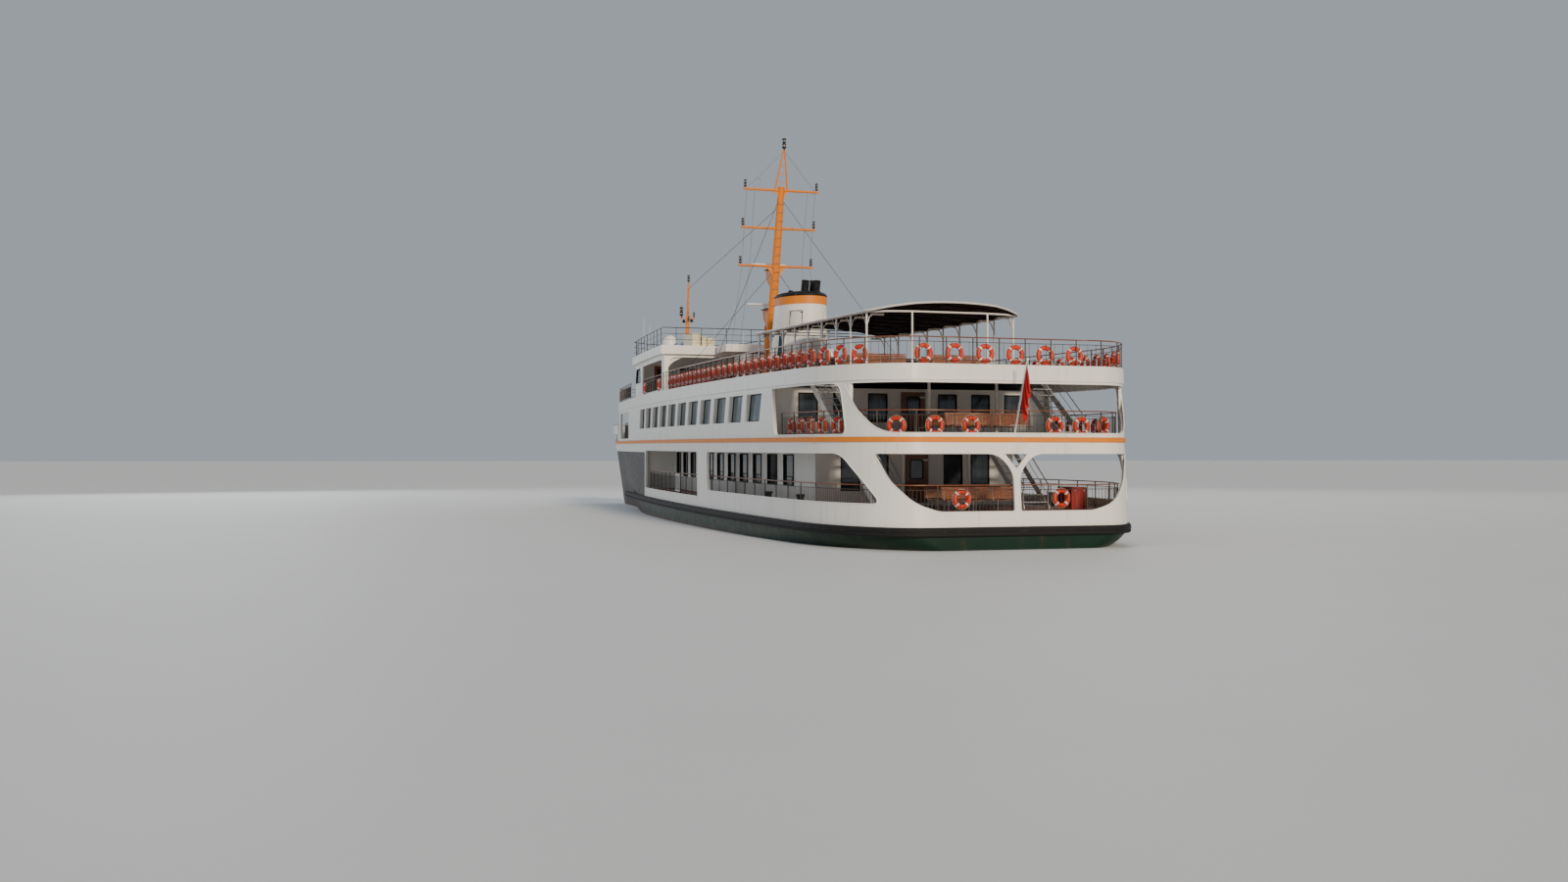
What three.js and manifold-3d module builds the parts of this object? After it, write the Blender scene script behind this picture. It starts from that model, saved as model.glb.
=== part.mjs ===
// Passenger ferry with three decks, as a half-size model.
// Sizes are the full-size ship's, in metres: x forward from the stern, y to port, height above the water.
// HALF_SIZE turns them into the model's millimetres, with the origin amidships on the waterline.

import * as THREE from "three";
import { mergeVertices } from "three/addons/utils/BufferGeometryUtils.js";
import Module from "manifold-3d";

const wasm = await Module();
wasm.setup();

// Driving dimensions
const HALF_SIZE = 500;
const LENGTH = 67;
const MIDSHIP = LENGTH / 2;
const HALF_BEAM = 6.6;
const TAPER = 1.8;
const TRANSOM_HALF = 3.7;
const QUARTER = 6.4;
const STERN_RAKE = 0.08;
const SHEER = { slope: 0.0065, drop: 0.03 };
const GAP = 0.0008;
const SEAM = 0.002;
const PLATE = 0.12;
const EDGE = 0.04;

const HEIGHT = {
  keel: -2.9, strakeLow: 0.55, strake: 0.9, mainDeck: 1.35, mainSill: 1.47, mainRail: 2.48, mainHead: 3.65,
  upperLow: 4.07, upperDeck: 4.27, upperRail: 5.3, upperHead: 6.4, topDeck: 6.93, bandTop: 7.02,
  topRail: 8.04, roofLow: 9.1, roof: 9.6, roofRail: 10.6,
};
const MAIN_HOUSE = { aft: 9.6, fore: 41, walk: 1.9 };
const UPPER_CABIN = { aft: 10, fore: 50.5 };
const SHELL_FORE = 60;
const FORECASTLE = 41;
const DECK_FORE = 65.6;

// Looks: colour, roughness, metalness
const LOOK = {
  white: [0xf1f2ee, 0.45, 0], hull: [0x1d3b34, 0.5, 0], black: [0x17181a, 0.6, 0], orange: [0xe87a1c, 0.5, 0],
  deck: [0x7b4a38, 0.8, 0], wood: [0x8a5a34, 0.6, 0], grey: [0x9aa0a2, 0.6, 0.1], bronze: [0xb08a4a, 0.35, 0.8],
  steel: [0xc8cccd, 0.4, 0.6], canvas: [0xe9e9e4, 0.9, 0], red: [0xb02a22, 0.6, 0], blue: [0x2f66b5, 0.7, 0],
  cream: [0xe6dcb8, 0.6, 0],
};

// A closed mesh from its points and triangles, turned so that its faces point out
function closedMesh(points, triangles) {
  let volume = 0;
  for (const [a, b, c] of triangles) {
    const [p, q, r] = [points[a], points[b], points[c]];
    volume += p[0] * (q[1] * r[2] - q[2] * r[1]);
    volume += p[1] * (q[2] * r[0] - q[0] * r[2]);
    volume += p[2] * (q[0] * r[1] - q[1] * r[0]);
  }
  const index = volume < 0 ? triangles.map(([a, b, c]) => [a, c, b]) : triangles;
  const geometry = new THREE.BufferGeometry();
  geometry.setAttribute("position", new THREE.Float32BufferAttribute(points.flat(), 3));
  geometry.setIndex(index.flat());
  return geometry;
}

// The triangles that close a ring of points
function capOf(ring) {
  const normal = [0, 0, 0];
  ring.forEach((p, i) => {
    const q = ring[(i + 1) % ring.length];
    normal[0] += (p[1] - q[1]) * (p[2] + q[2]);
    normal[1] += (p[2] - q[2]) * (p[0] + q[0]);
    normal[2] += (p[0] - q[0]) * (p[1] + q[1]);
  });
  const sizes = normal.map(Math.abs);
  const axis = sizes.indexOf(Math.max(...sizes));
  const [u, v] = [(axis + 1) % 3, (axis + 2) % 3];
  const flat = ring.map((p) => new THREE.Vector2(p[u], p[v]));
  const faces = THREE.ShapeUtils.triangulateShape(flat, []);
  return normal[axis] > 0 ? faces : faces.map(([a, b, c]) => [a, c, b]);
}

// Rings of equal length joined in turn; the ends are capped unless the last ring meets the first
function loft(rings, closed = false) {
  const size = rings[0].length;
  const count = rings.length;
  const triangles = [];
  for (let i = 0; i < (closed ? count : count - 1); i++) {
    for (let j = 0; j < size; j++) {
      const next = ((i + 1) % count) * size;
      const side = (j + 1) % size;
      triangles.push([i * size + j, i * size + side, next + side]);
      triangles.push([i * size + j, next + side, next + j]);
    }
  }
  if (!closed) {
    const last = (count - 1) * size;
    capOf(rings[0]).forEach(([a, b, c]) => triangles.push([a, c, b]));
    capOf(rings[count - 1]).forEach(([a, b, c]) => triangles.push([a + last, b + last, c + last]));
  }
  return closedMesh(rings.flat(), triangles);
}

// Solids are joined and cut here
function solid(geometry) {
  const plain = geometry.index ? geometry.toNonIndexed() : geometry.clone();
  plain.deleteAttribute("normal");
  plain.deleteAttribute("uv");
  const merged = mergeVertices(plain, 1e-5);
  return new wasm.Manifold(
    new wasm.Mesh({
      numProp: 3,
      vertProperties: merged.attributes.position.array,
      triVerts: new Uint32Array(merged.index.array),
    }),
  );
}

function surface(manifold) {
  const mesh = manifold.getMesh();
  const geometry = new THREE.BufferGeometry();
  geometry.setAttribute("position", new THREE.BufferAttribute(new Float32Array(mesh.vertProperties), 3));
  geometry.setIndex(new THREE.BufferAttribute(new Uint32Array(mesh.triVerts), 1));
  return geometry;
}

function join(...pieces) {
  return surface(pieces.map(solid).reduce((whole, piece) => whole.add(piece)));
}

function cut(whole, ...pieces) {
  return surface(pieces.map(solid).reduce((rest, piece) => rest.subtract(piece), solid(whole)));
}

// Simple forms
function box([x0, x1], [y0, y1], [z0, z1]) {
  const geometry = new THREE.BoxGeometry(x1 - x0, y1 - y0, z1 - z0);
  return geometry.translate((x0 + x1) / 2, (y0 + y1) / 2, (z0 + z1) / 2);
}

function bothSides([x0, x1], [y0, y1], [z0, z1]) {
  return [box([x0, x1], [y0, y1], [z0, z1]), box([x0, x1], [-y1, -y0], [z0, z1])];
}

// A round bar between two points, its radius given at each end
function bar(from, to, radius, endRadius = radius, sides = 8) {
  const start = new THREE.Vector3(...from);
  const end = new THREE.Vector3(...to);
  const along = end.clone().sub(start);
  const geometry = new THREE.CylinderGeometry(endRadius, radius, along.length(), sides);
  geometry.translate(0, along.length() / 2, 0);
  geometry.applyQuaternion(new THREE.Quaternion().setFromUnitVectors(new THREE.Vector3(0, 1, 0), along.normalize()));
  return geometry.translate(...from);
}

// A flat outline of corners [a, b, radius], pushed through from low to high along the axis named
const BASIS = {
  x: [[0, 1, 0], [0, 0, 1], [1, 0, 0]],
  y: [[1, 0, 0], [0, 0, 1], [0, -1, 0]],
  z: [[1, 0, 0], [0, 1, 0], [0, 0, 1]],
};

function outlineOf(corners) {
  const shape = new THREE.Shape();
  corners.forEach(([a, b, radius = 0], i) => {
    const before = corners[(i + corners.length - 1) % corners.length];
    const after = corners[(i + 1) % corners.length];
    const corner = new THREE.Vector2(a, b);
    const toward = (p) => new THREE.Vector2(p[0], p[1]).sub(corner).setLength(radius).add(corner);
    const start = radius ? toward(before) : corner;
    if (i === 0) shape.moveTo(start.x, start.y);
    else shape.lineTo(start.x, start.y);
    if (radius) {
      const end = toward(after);
      shape.quadraticCurveTo(a, b, end.x, end.y);
    }
  });
  return shape;
}

function slab(axis, corners, [low, high], curveSegments = 3) {
  const depth = high - low;
  const geometry = new THREE.ExtrudeGeometry(outlineOf(corners), { depth, bevelEnabled: false, curveSegments });
  const basis = new THREE.Matrix4().makeBasis(...BASIS[axis].map((v) => new THREE.Vector3(...v)));
  geometry.applyMatrix4(basis);
  const shift = { x: [low, 0, 0], y: [0, high, 0], z: [0, 0, low] }[axis];
  return geometry.translate(...shift);
}

// The ship's side in plan: a flat transom, round quarters, then a long taper to the bow
const SIDE_STATIONS = [12, 18, 24, 30, 36, 42, 47, 52, 56, 60, 63, 65.6, 67];
const QUARTER_STEPS = 6;

function sternAt(height) {
  return STERN_RAKE * Math.max(0, height - HEIGHT.strake);
}

function profileAt(height) {
  const stern = sternAt(height);
  const points = [];
  for (let i = 0; i <= QUARTER_STEPS; i++) {
    const turn = ((i / QUARTER_STEPS) * Math.PI) / 2;
    const x = stern + (QUARTER - stern) * (1 - Math.cos(turn));
    points.push([x, TRANSOM_HALF + (HALF_BEAM - TRANSOM_HALF) * Math.sin(turn)]);
  }
  for (const x of SIDE_STATIONS) {
    const along = (x - QUARTER) / (LENGTH - QUARTER);
    points.push([x, Math.max(EDGE, HALF_BEAM * (1 - along ** TAPER))]);
  }
  return points;
}

function halfAt(x, height) {
  const points = profileAt(height);
  if (x <= points[0][0]) return points[0][1];
  const i = points.findIndex((p) => p[0] >= x);
  const [a, b] = [points[i - 1], points[i]];
  return a[1] + ((b[1] - a[1]) * (x - a[0])) / (b[0] - a[0]);
}

// The plan's points on the port side between two stations, the stern's own included
function portPoints(height, from, to, inset = 0) {
  const start = Math.max(from, sternAt(height));
  const points = profileAt(height).filter(([x]) => x > start + 0.01 && x < to - 0.01);
  const run = [[start, halfAt(start, height)], ...points, [to, halfAt(to, height)]];
  return inset ? offsetPath(run, -inset) : run;
}

// A path moved sideways, to its left where the amount is positive
function offsetPath(path, amount, closed = false) {
  const size = path.length;
  return path.map((p, i) => {
    const before = path[closed ? (i + size - 1) % size : Math.max(0, i - 1)];
    const after = path[closed ? (i + 1) % size : Math.min(size - 1, i + 1)];
    const unit = (a, b) => {
      const far = Math.hypot(b[0] - a[0], b[1] - a[1]) || 1;
      return [(b[0] - a[0]) / far, (b[1] - a[1]) / far];
    };
    const one = p === before ? unit(p, after) : unit(before, p);
    const two = p === after ? one : unit(p, after);
    const sum = [one[0] + two[0], one[1] + two[1]];
    const long = Math.hypot(...sum);
    const way = [sum[0] / long, sum[1] / long];
    const stretch = 1 / Math.max(0.5, way[0] * one[0] + way[1] * one[1]);
    return [p[0] - way[1] * amount * stretch, p[1] + way[0] * amount * stretch];
  });
}

// The side from a station on the port side round the stern to the same station to starboard
function sternLoop(height, to) {
  const port = portPoints(height, 0, to).reverse();
  return [...port, ...port.map(([x, y]) => [x, -y]).reverse()];
}

// A wall that follows a plan path; lower and upper paths have the same count of points
function wall(lower, upper, [low, high], thickness, closed = false) {
  const inLow = offsetPath(lower, thickness, closed);
  const inHigh = offsetPath(upper, thickness, closed);
  const rings = lower.map((p, i) => [
    [...p, low],
    [...upper[i], high],
    [...inHigh[i], high],
    [...inLow[i], low],
  ]);
  return loft(rings, closed);
}

// A deck that fills the plan as far forward as a station, its edge moved in
function deck(fore, [low, high], inset) {
  return slab("z", offsetPath(sternLoop(high, fore), inset), [low, high]);
}

// What stands on a level, cut flat just above it
function standing(geometry, level) {
  return cut(geometry, box([-2, LENGTH], [-8, 8], [level - 3, level + GAP]));
}

// A rail of posts and bars that follows a path; post columns are points on the path
function railOf(path, height, { top, bars, post, spacing, cap = 0.06, thin = 0.025, closed = false }) {
  const pieces = [ribbon(path, top - cap, top, cap, closed)];
  for (const level of bars) pieces.push(ribbon(path, level - thin, level + thin, thin, closed));
  for (const [x, y] of pointsAlong(path, spacing, closed)) {
    pieces.push(box([x - post, x + post], [y - post, y + post], [height + GAP, top - cap / 2]));
  }
  return join(...pieces);
}

function ribbon(path, low, high, half, closed) {
  const outer = offsetPath(path, -half, closed);
  return wall(outer, outer, [low, high], 2 * half, closed);
}

function pointsAlong(path, spacing, closed = false) {
  const points = closed ? [...path, path[0]] : path;
  const lengths = points.slice(1).map((p, i) => Math.hypot(p[0] - points[i][0], p[1] - points[i][1]));
  const total = lengths.reduce((a, b) => a + b, 0);
  const count = Math.max(1, Math.round(total / spacing));
  const found = [];
  for (let k = 0; k <= count - (closed ? 1 : 0); k++) {
    let rest = Math.min((k / count) * total, total - 1e-6);
    let i = 0;
    while (rest > lengths[i]) rest -= lengths[i++];
    const part = rest / lengths[i];
    const [p, q] = [points[i], points[i + 1]];
    found.push([p[0] + (q[0] - p[0]) * part, p[1] + (q[1] - p[1]) * part]);
  }
  return found;
}

// The finished group
const group = new THREE.Group();

function place([x, y, z]) {
  return [(x - MIDSHIP) * HALF_SIZE, y * HALF_SIZE, (z + SHEER.slope * x - SHEER.drop) * HALF_SIZE];
}

function add(name, geometry, look, pivot = null) {
  const positions = geometry.getAttribute("position");
  for (let i = 0; i < positions.count; i++) {
    const point = [positions.getX(i), positions.getY(i), positions.getZ(i)];
    positions.setXYZ(i, ...(pivot ? point.map((v) => v * HALF_SIZE) : place(point)));
  }
  const [color, roughness, metalness] = LOOK[look];
  const mesh = new THREE.Mesh(geometry, new THREE.MeshStandardMaterial({ color, roughness, metalness }));
  mesh.name = name;
  if (pivot) mesh.position.set(...place(pivot));
  group.add(mesh);
}

// Port and starboard pieces alike, from one geometry made for the port side
function mirrored(geometry) {
  return geometry.clone().applyMatrix4(new THREE.Matrix4().makeScale(1, -1, 1));
}

function flipFaces(geometry) {
  const index = geometry.index ? [...geometry.index.array] : [...Array(geometry.attributes.position.count).keys()];
  for (let i = 0; i < index.length; i += 3) [index[i + 1], index[i + 2]] = [index[i + 2], index[i + 1]];
  geometry.setIndex(index);
  return geometry;
}

function addPair(name, geometry, look, pivot = null) {
  const other = flipFaces(mirrored(geometry));
  add(name + "_port", geometry, look, pivot);
  add(name + "_starboard", other, look, pivot ? [pivot[0], -pivot[1], pivot[2]] : null);
}

// Hull: stations from the transom to the stem, solid up to the strake
const STEM = { foot: 60.5, water: 64, slope: 1.8 };
const RUN = { from: 15, transom: -0.45, power: 0.7 };

function keelAt(x) {
  if (x < RUN.from) return HEIGHT.keel + (RUN.transom - HEIGHT.keel) * (1 - x / RUN.from) ** RUN.power;
  if (x < STEM.foot) return HEIGHT.keel;
  if (x < STEM.water) return HEIGHT.keel * (1 - ((x - STEM.foot) / (STEM.water - STEM.foot)) ** 1.5);
  return (x - STEM.water) * STEM.slope;
}

function smooth(from, to, value) {
  const t = Math.min(1, Math.max(0, (value - from) / (to - from)));
  return t * t * (3 - 2 * t);
}

function hullHalf(x, z) {
  const foot = keelAt(x);
  const fore = smooth(38, 58, x);
  const top = HEIGHT.strake + (HEIGHT.upperLow - HEIGHT.strake) * fore;
  const rise = Math.min(1, Math.max(0, (z - foot) / (top - foot)));
  const power = 2.2 + smooth(0, 15, x) - 2.1 * smooth(30, 62, x);
  return Math.max(EDGE, halfAt(x, HEIGHT.strake) * (1 - (1 - rise) ** power) ** (1 / power));
}

const HULL_LEVELS = [0.07, 0.16, 0.3, 0.5, 0.72, 0.86, 1];

function hullBlock(stations, low, high) {
  const rings = stations.map((x) => {
    const foot = Math.min(Math.max(low ?? keelAt(x), keelAt(x)), high - 0.02);
    const side = HULL_LEVELS.map((t) => foot + (high - foot) * t).map((z) => [x, hullHalf(x, z), z]);
    const start = low === null ? [[x, 0, foot]] : [[x, hullHalf(x, foot), foot]];
    const port = low === null ? side : [...start, ...side];
    const starboard = port.map(([a, y, z]) => [a, -y, z]).reverse();
    return low === null ? [...start, ...port, ...starboard] : [...port, ...starboard];
  });
  return loft(rings);
}

const quarterStations = profileAt(HEIGHT.strake).map((p) => p[0]).filter((x) => x <= QUARTER + 0.01);
const lowerStations = [...quarterStations, 9, 12, 15, 18, 24, 30, 36, 42, 47, 52, 56, 60, 62, 63.4, 64.2];

// Forecastle: the dark bow above the strake
const bowStations = [FORECASTLE, 42, 47, 52, 56, 60, 63, 65, 65.6, 66.1];
add("forecastle", hullBlock(bowStations, HEIGHT.strake + GAP, HEIGHT.upperLow - GAP), "hull");

// Rubbing strake round the stern and sides
const STRAKE = { fore: 52, out: 0.14 };
const strakeLoop = offsetPath(sternLoop(HEIGHT.strake, STRAKE.fore), -STRAKE.out);
add("rubbing_strake", wall(strakeLoop, strakeLoop, [HEIGHT.strakeLow, HEIGHT.strake], STRAKE.out - GAP), "black");

// Skegs, shafts, propellers and rudders
const SHAFT = { y: 2.6, height: -1.95, hullEnd: 12.5, screw: 4.2, radius: 0.09, tube: 0.16 };
const SCREW = { radius: 0.85, blades: 4, hub: 0.2, hubLength: 0.55, nose: 0.12 };
const RUDDER = { x: 2.9, height: -1.9, chord: [0.45, 0.95], tall: [-2.75, -1.05], thick: 0.16, stock: 0.1, top: -0.78 };

function bladeOf(angle) {
  const rings = [0.12, 0.32, 0.58, 0.8, 0.85].map((r, i) => {
    const width = [0.3, 0.46, 0.56, 0.38, 0.15][i];
    const pitch = 1.05 - 0.55 * (r / SCREW.radius);
    const thick = 0.05 - 0.035 * (r / SCREW.radius);
    const along = [Math.sin(pitch), Math.cos(pitch)];
    const corners = [[-width / 2, 0], [0, thick / 2], [width / 2, 0], [0, -thick / 2]];
    return corners.map(([w, t]) => [along[0] * w - along[1] * t, along[1] * w + along[0] * t, r]);
  });
  return loft(rings).rotateX(angle);
}

function screw() {
  const blades = [...Array(SCREW.blades).keys()].map((i) => bladeOf((i * 2 * Math.PI) / SCREW.blades));
  const hub = bar([-SCREW.hubLength, 0, 0], [SCREW.nose, 0, 0], 0.08, SCREW.hub, 10);
  return join(hub, ...blades);
}

function shaftLine() {
  const start = SHAFT.screw + SCREW.nose + GAP;
  const shaft = bar([start, SHAFT.y, SHAFT.height], [SHAFT.hullEnd, SHAFT.y, SHAFT.height], SHAFT.radius);
  const tube = bar([9, SHAFT.y, SHAFT.height], [SHAFT.hullEnd, SHAFT.y, SHAFT.height], SHAFT.tube, 0.2);
  const barrel = bar([start + 0.1, SHAFT.y, SHAFT.height], [start + 0.8, SHAFT.y, SHAFT.height], 0.17);
  const legs = [-0.75, 0.75].map((side) =>
    bar([start + 0.45, SHAFT.y, SHAFT.height], [start + 0.45, SHAFT.y + side, -0.4], 0.06),
  );
  return join(shaft, tube, barrel, ...legs);
}

const hullSolid = hullBlock(lowerStations, null, HEIGHT.strake);
const hullGrown = hullBlock(lowerStations, null, HEIGHT.strake).translate(0, 0, -GAP);
const shaftPort = shaftLine();
add("shaft_port", cut(shaftPort, hullSolid, hullGrown), "steel");
add("shaft_starboard", cut(flipFaces(mirrored(shaftPort)), hullSolid, hullGrown), "steel");
addPair("propeller", screw(), "bronze", [SHAFT.screw, SHAFT.y, SHAFT.height]);

const skegOutline = [[2.2, -0.9], [3.4, -2.3, 0.3], [12, HEIGHT.keel - 0.05], [14.5, HEIGHT.keel - 0.05], [14.5, -2], [8, 0]];
const skeg = slab("y", skegOutline, [-0.14, 0.14]);

function rudder() {
  const [fore, aft] = RUDDER.chord;
  const section = [[fore, 0], [0.15, RUDDER.thick], [-aft, 0], [0.15, -RUDDER.thick]];
  const blade = slab("z", section, RUDDER.tall.map((z) => z - RUDDER.height));
  const stock = bar([0, 0, -0.2], [0, 0, RUDDER.top - RUDDER.height - GAP], RUDDER.stock);
  return join(blade, stock);
}
addPair("rudder", rudder(), "hull", [RUDDER.x, SHAFT.y, RUDDER.height]);

const trunks = [SHAFT.y, -SHAFT.y].map((y) =>
  bar([RUDDER.x, y, RUDDER.top], [RUDDER.x, y, 0], 0.2, 0.24, 10),
);
add("hull", join(hullSolid, skeg, ...trunks), "hull");

// Main deck: floor, white side shell with its openings, deckhouse
const WELL = { x: [4.5, 8.5], main: [2.6, 3.9], upper: [4.4, 5.5] };

add("main_deck", deck(FORECASTLE - GAP, [HEIGHT.strake + GAP, HEIGHT.mainDeck], PLATE + 2 * SEAM), "deck");

// Mooring bollards, two to a side on one long foot plate
const BOLLARDS = { x: [12.6, 8.2], inset: 0.75, radius: 0.14, head: 0.19, tall: 0.5, plate: 0.22, plateThick: 0.04, lip: 0.35 };

function bollards() {
  const { x, inset, radius, head, tall, plate, plateThick, lip } = BOLLARDS;
  const low = HEIGHT.mainDeck + GAP;
  const top = HEIGHT.mainDeck + tall;
  const lineAt = (station) => halfAt(station, HEIGHT.mainDeck) - inset;
  const posts = x.flatMap((station) => {
    const [a, b] = [station, lineAt(station)];
    return [bar([a, b, low], [a, b, top], radius, radius, 10), bar([a, b, top - 0.02], [a, b, top + 0.08], head, head, 10)];
  });
  const ends = [x[1] - lip, x[0] + lip].map((station) => [station, lineAt(station)]);
  return join(ribbon(ends, low, low + plateThick, plate, false), ...posts);
}
addPair("bollards", bollards(), "black");

function mainShell() {
  const [low, high] = [HEIGHT.strake + GAP, HEIGHT.upperLow - GAP];
  const shell = wall(
    sternLoop(low, FORECASTLE - GAP), sternLoop(high, FORECASTLE - GAP), [low, high], PLATE,
  );
  const head = HEIGHT.mainHead;
  const sideAft = [[0.95, 1.75, 0.4], [2.7, 1.75], [21, 1.75, 0.5], [21, head, 0.3], [2.9, head, 0.5], [1.7, 2.6, 0.4]];
  const boarding = [[23.2, HEIGHT.mainDeck + 0.05], [40.6, HEIGHT.mainDeck + 0.05], [40.6, head, 0.5], [23.2, head, 0.3]];
  const sternPort = [
    [3.2, HEIGHT.mainSill, 0.2], [0.12, HEIGHT.mainSill], [0.12, 2.95, 0.2], [0.75, head, 0.5],
    [5.35, head, 0.1], [4.95, 2.6, 0.3], [4.2, 1.75, 0.5],
  ];
  const triangle = [[-0.5, head], [0.5, head], [0, 3.05]];
  return cut(
    shell,
    ...[1, -1].flatMap((side) => {
      const span = side > 0 ? [4.85, 8] : [-8, -4.85];
      return [slab("y", sideAft, span), slab("y", boarding, side > 0 ? [2, 8] : [-8, -2])];
    }),
    slab("x", sternPort, [-1, 1.35]),
    slab("x", sternPort.map(([y, z, r]) => [-y, z, r]), [-1, 1.35]),
    slab("x", triangle, [-1, 1.35]),
  );
}
add("main_shell", mainShell(), "white");

// A house of four walls whose sides keep a walkway inside the ship's side
function housePath({ aft, fore, walk }) {
  const stations = [fore, ...SIDE_STATIONS.filter((x) => x > aft && x < fore).reverse(), aft];
  const port = stations.map((x) => [x, halfAt(x, HEIGHT.mainDeck) - walk]);
  return [...port, ...port.map(([x, y]) => [x, -y]).reverse()];
}

const HOUSE_WINDOWS = { from: 12.5, pitch: 2.6, count: 11, wide: 1.5, sill: 2.15, head: 3.55 };
const DOOR = { thick: 0.06, off: 0.045, lap: 0.06, clear: 0.012, lug: 0.032 };
const AFT_DOOR = { wide: 1.0, tall: 2.05 };

// A door leaf hung outside its doorway, turning on its port or starboard edge, with a window
function doorLeaf({ wide, tall }) {
  const reach = wide + 2 * DOOR.lap;
  const leaf = box([-DOOR.thick / 2, DOOR.thick / 2], [DOOR.clear, reach], [0, tall]);
  return cut(leaf, box([-1, 1], [reach * 0.25, reach * 0.75], [tall * 0.5, tall * 0.88]));
}

// The lug under a leaf's turning edge, on the wall whose aft face is at x
function doorLug(x, y, sill) {
  return box([x - DOOR.off - DOOR.lug, x + 0.01], [y - DOOR.lug, y + DOOR.lug], [sill - 0.07, sill - GAP]);
}

function doorway(x, y, { wide, tall }, sill) {
  return box([x - 0.5, x + 0.5], [y, y + wide], [sill, sill + tall]);
}

const mainDoorSill = HEIGHT.mainDeck + 0.15;

function mainHouse() {
  const path = housePath(MAIN_HOUSE);
  const walls = wall(path, path, [HEIGHT.mainDeck + GAP, HEIGHT.upperLow - GAP], 0.1, true);
  const windows = [...Array(HOUSE_WINDOWS.count).keys()].map((i) => {
    const x = HOUSE_WINDOWS.from + i * HOUSE_WINDOWS.pitch;
    return box([x, x + HOUSE_WINDOWS.wide], [-8, 8], [HOUSE_WINDOWS.sill, HOUSE_WINDOWS.head]);
  });
  const aft = [MAIN_HOUSE.aft - 0.5, MAIN_HOUSE.aft + 0.5];
  const tall = [-3.5, -2.2, 1.3, 2.6].map((y) => box(aft, [y, y + 0.9], [2.0, 3.6]));
  const way = doorway(MAIN_HOUSE.aft, -AFT_DOOR.wide / 2, AFT_DOOR, mainDoorSill);
  const lug = doorLug(MAIN_HOUSE.aft, -AFT_DOOR.wide / 2 - DOOR.lap, mainDoorSill);
  return join(cut(walls, ...windows, ...tall, way), lug);
}
add("main_house", mainHouse(), "white");
add("main_aft_door", doorLeaf(AFT_DOOR), "white",
  [MAIN_HOUSE.aft - DOOR.off, -AFT_DOOR.wide / 2 - DOOR.lap, mainDoorSill]);

// Boarding gates in the rails on each side, turning inward on their aft edge
const GATE = { from: 29.4, wide: 1.5, low: 0.12, high: 1.06, thick: 0.05, clear: 0.06, boss: 0.035 };
const railLine = (x) => halfAt(x, HEIGHT.mainRail) - 0.3;

function boardingGate() {
  const reach = GATE.wide - 0.02;
  const frame = box([0.02, reach], [-GATE.thick / 2, GATE.thick / 2], [GATE.low, GATE.high]);
  const bay = (reach - 0.08) / 3;
  const holes = [0, 1, 2].map((i) =>
    box([0.08 + i * bay, 0.02 + (i + 1) * bay], [-1, 1], [GATE.low + 0.08, GATE.high - 0.1]));
  const drift = railLine(GATE.from + GATE.wide) - railLine(GATE.from);
  return cut(frame, ...holes).rotateZ(Math.atan2(drift, GATE.wide));
}
addPair("boarding_gate", boardingGate(), "wood", [GATE.from, railLine(GATE.from), HEIGHT.mainDeck]);

// Upper deck: floor with its orange edge, shell with windows and openings, bulkheads
function upperDeck() {
  const floor = deck(DECK_FORE, [HEIGHT.upperLow, HEIGHT.upperDeck], -0.03);
  return cut(floor, ...bothSides(WELL.x, WELL.main, [3, 5]));
}
add("upper_deck", upperDeck(), "orange");

const STERN_SILL = 4.42;
const WINDOWS = { count: 11, from: 13.6, to: 45.5, wide: 1.9, sill: 5.0, head: 6.28, lean: 0.3 };

function upperShell() {
  const [low, high] = [HEIGHT.upperDeck + GAP, HEIGHT.upperHead - GAP];
  const shell = wall(sternLoop(low, SHELL_FORE), sternLoop(high, SHELL_FORE), [low, high], PLATE);
  const pitch = (WINDOWS.to - WINDOWS.from) / (WINDOWS.count - 1);
  const windows = [...Array(WINDOWS.count).keys()].map((i) => {
    const x = WINDOWS.from + i * pitch;
    const [a, b] = [x - WINDOWS.wide / 2, x + WINDOWS.wide / 2];
    const corners = [[a, WINDOWS.sill], [b, WINDOWS.sill], [b - WINDOWS.lean, WINDOWS.head], [a - WINDOWS.lean, WINDOWS.head]];
    return slab("y", corners, [-8, 8]);
  });
  const head = HEIGHT.upperHead + 0.1;
  const quarter = [[2.6, 4.62, 0.3], [9.3, 4.62], [9.65, head], [2.95, head]];
  const forward = [[51.2, 4.9, 0.3], [58.6, 4.9, 0.3], [58.6, 6.2, 0.3], [51.2, 6.2, 0.3]];
  const stern = [[-5.2, STERN_SILL, 0.5], [5.2, STERN_SILL, 0.5], [5.75, 5.3, 0.3], [6.0, head], [-6.0, head], [-5.75, 5.3, 0.3]];
  return cut(
    shell, ...windows, slab("y", forward, [-8, 8]), slab("x", stern, [-1, 2.45]),
    slab("y", quarter, [5.9, 8]), slab("y", quarter, [-8, -5.9]),
  );
}
add("upper_shell", upperShell(), "white");

function bulkhead(x, [low, high], inset, openings, lugs = []) {
  const half = halfAt(x + 0.05, high) - inset;
  const sheet = cut(box([x - 0.05, x + 0.05], [-half, half], [low, high]), ...openings);
  return lugs.length ? join(sheet, ...lugs) : sheet;
}

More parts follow.
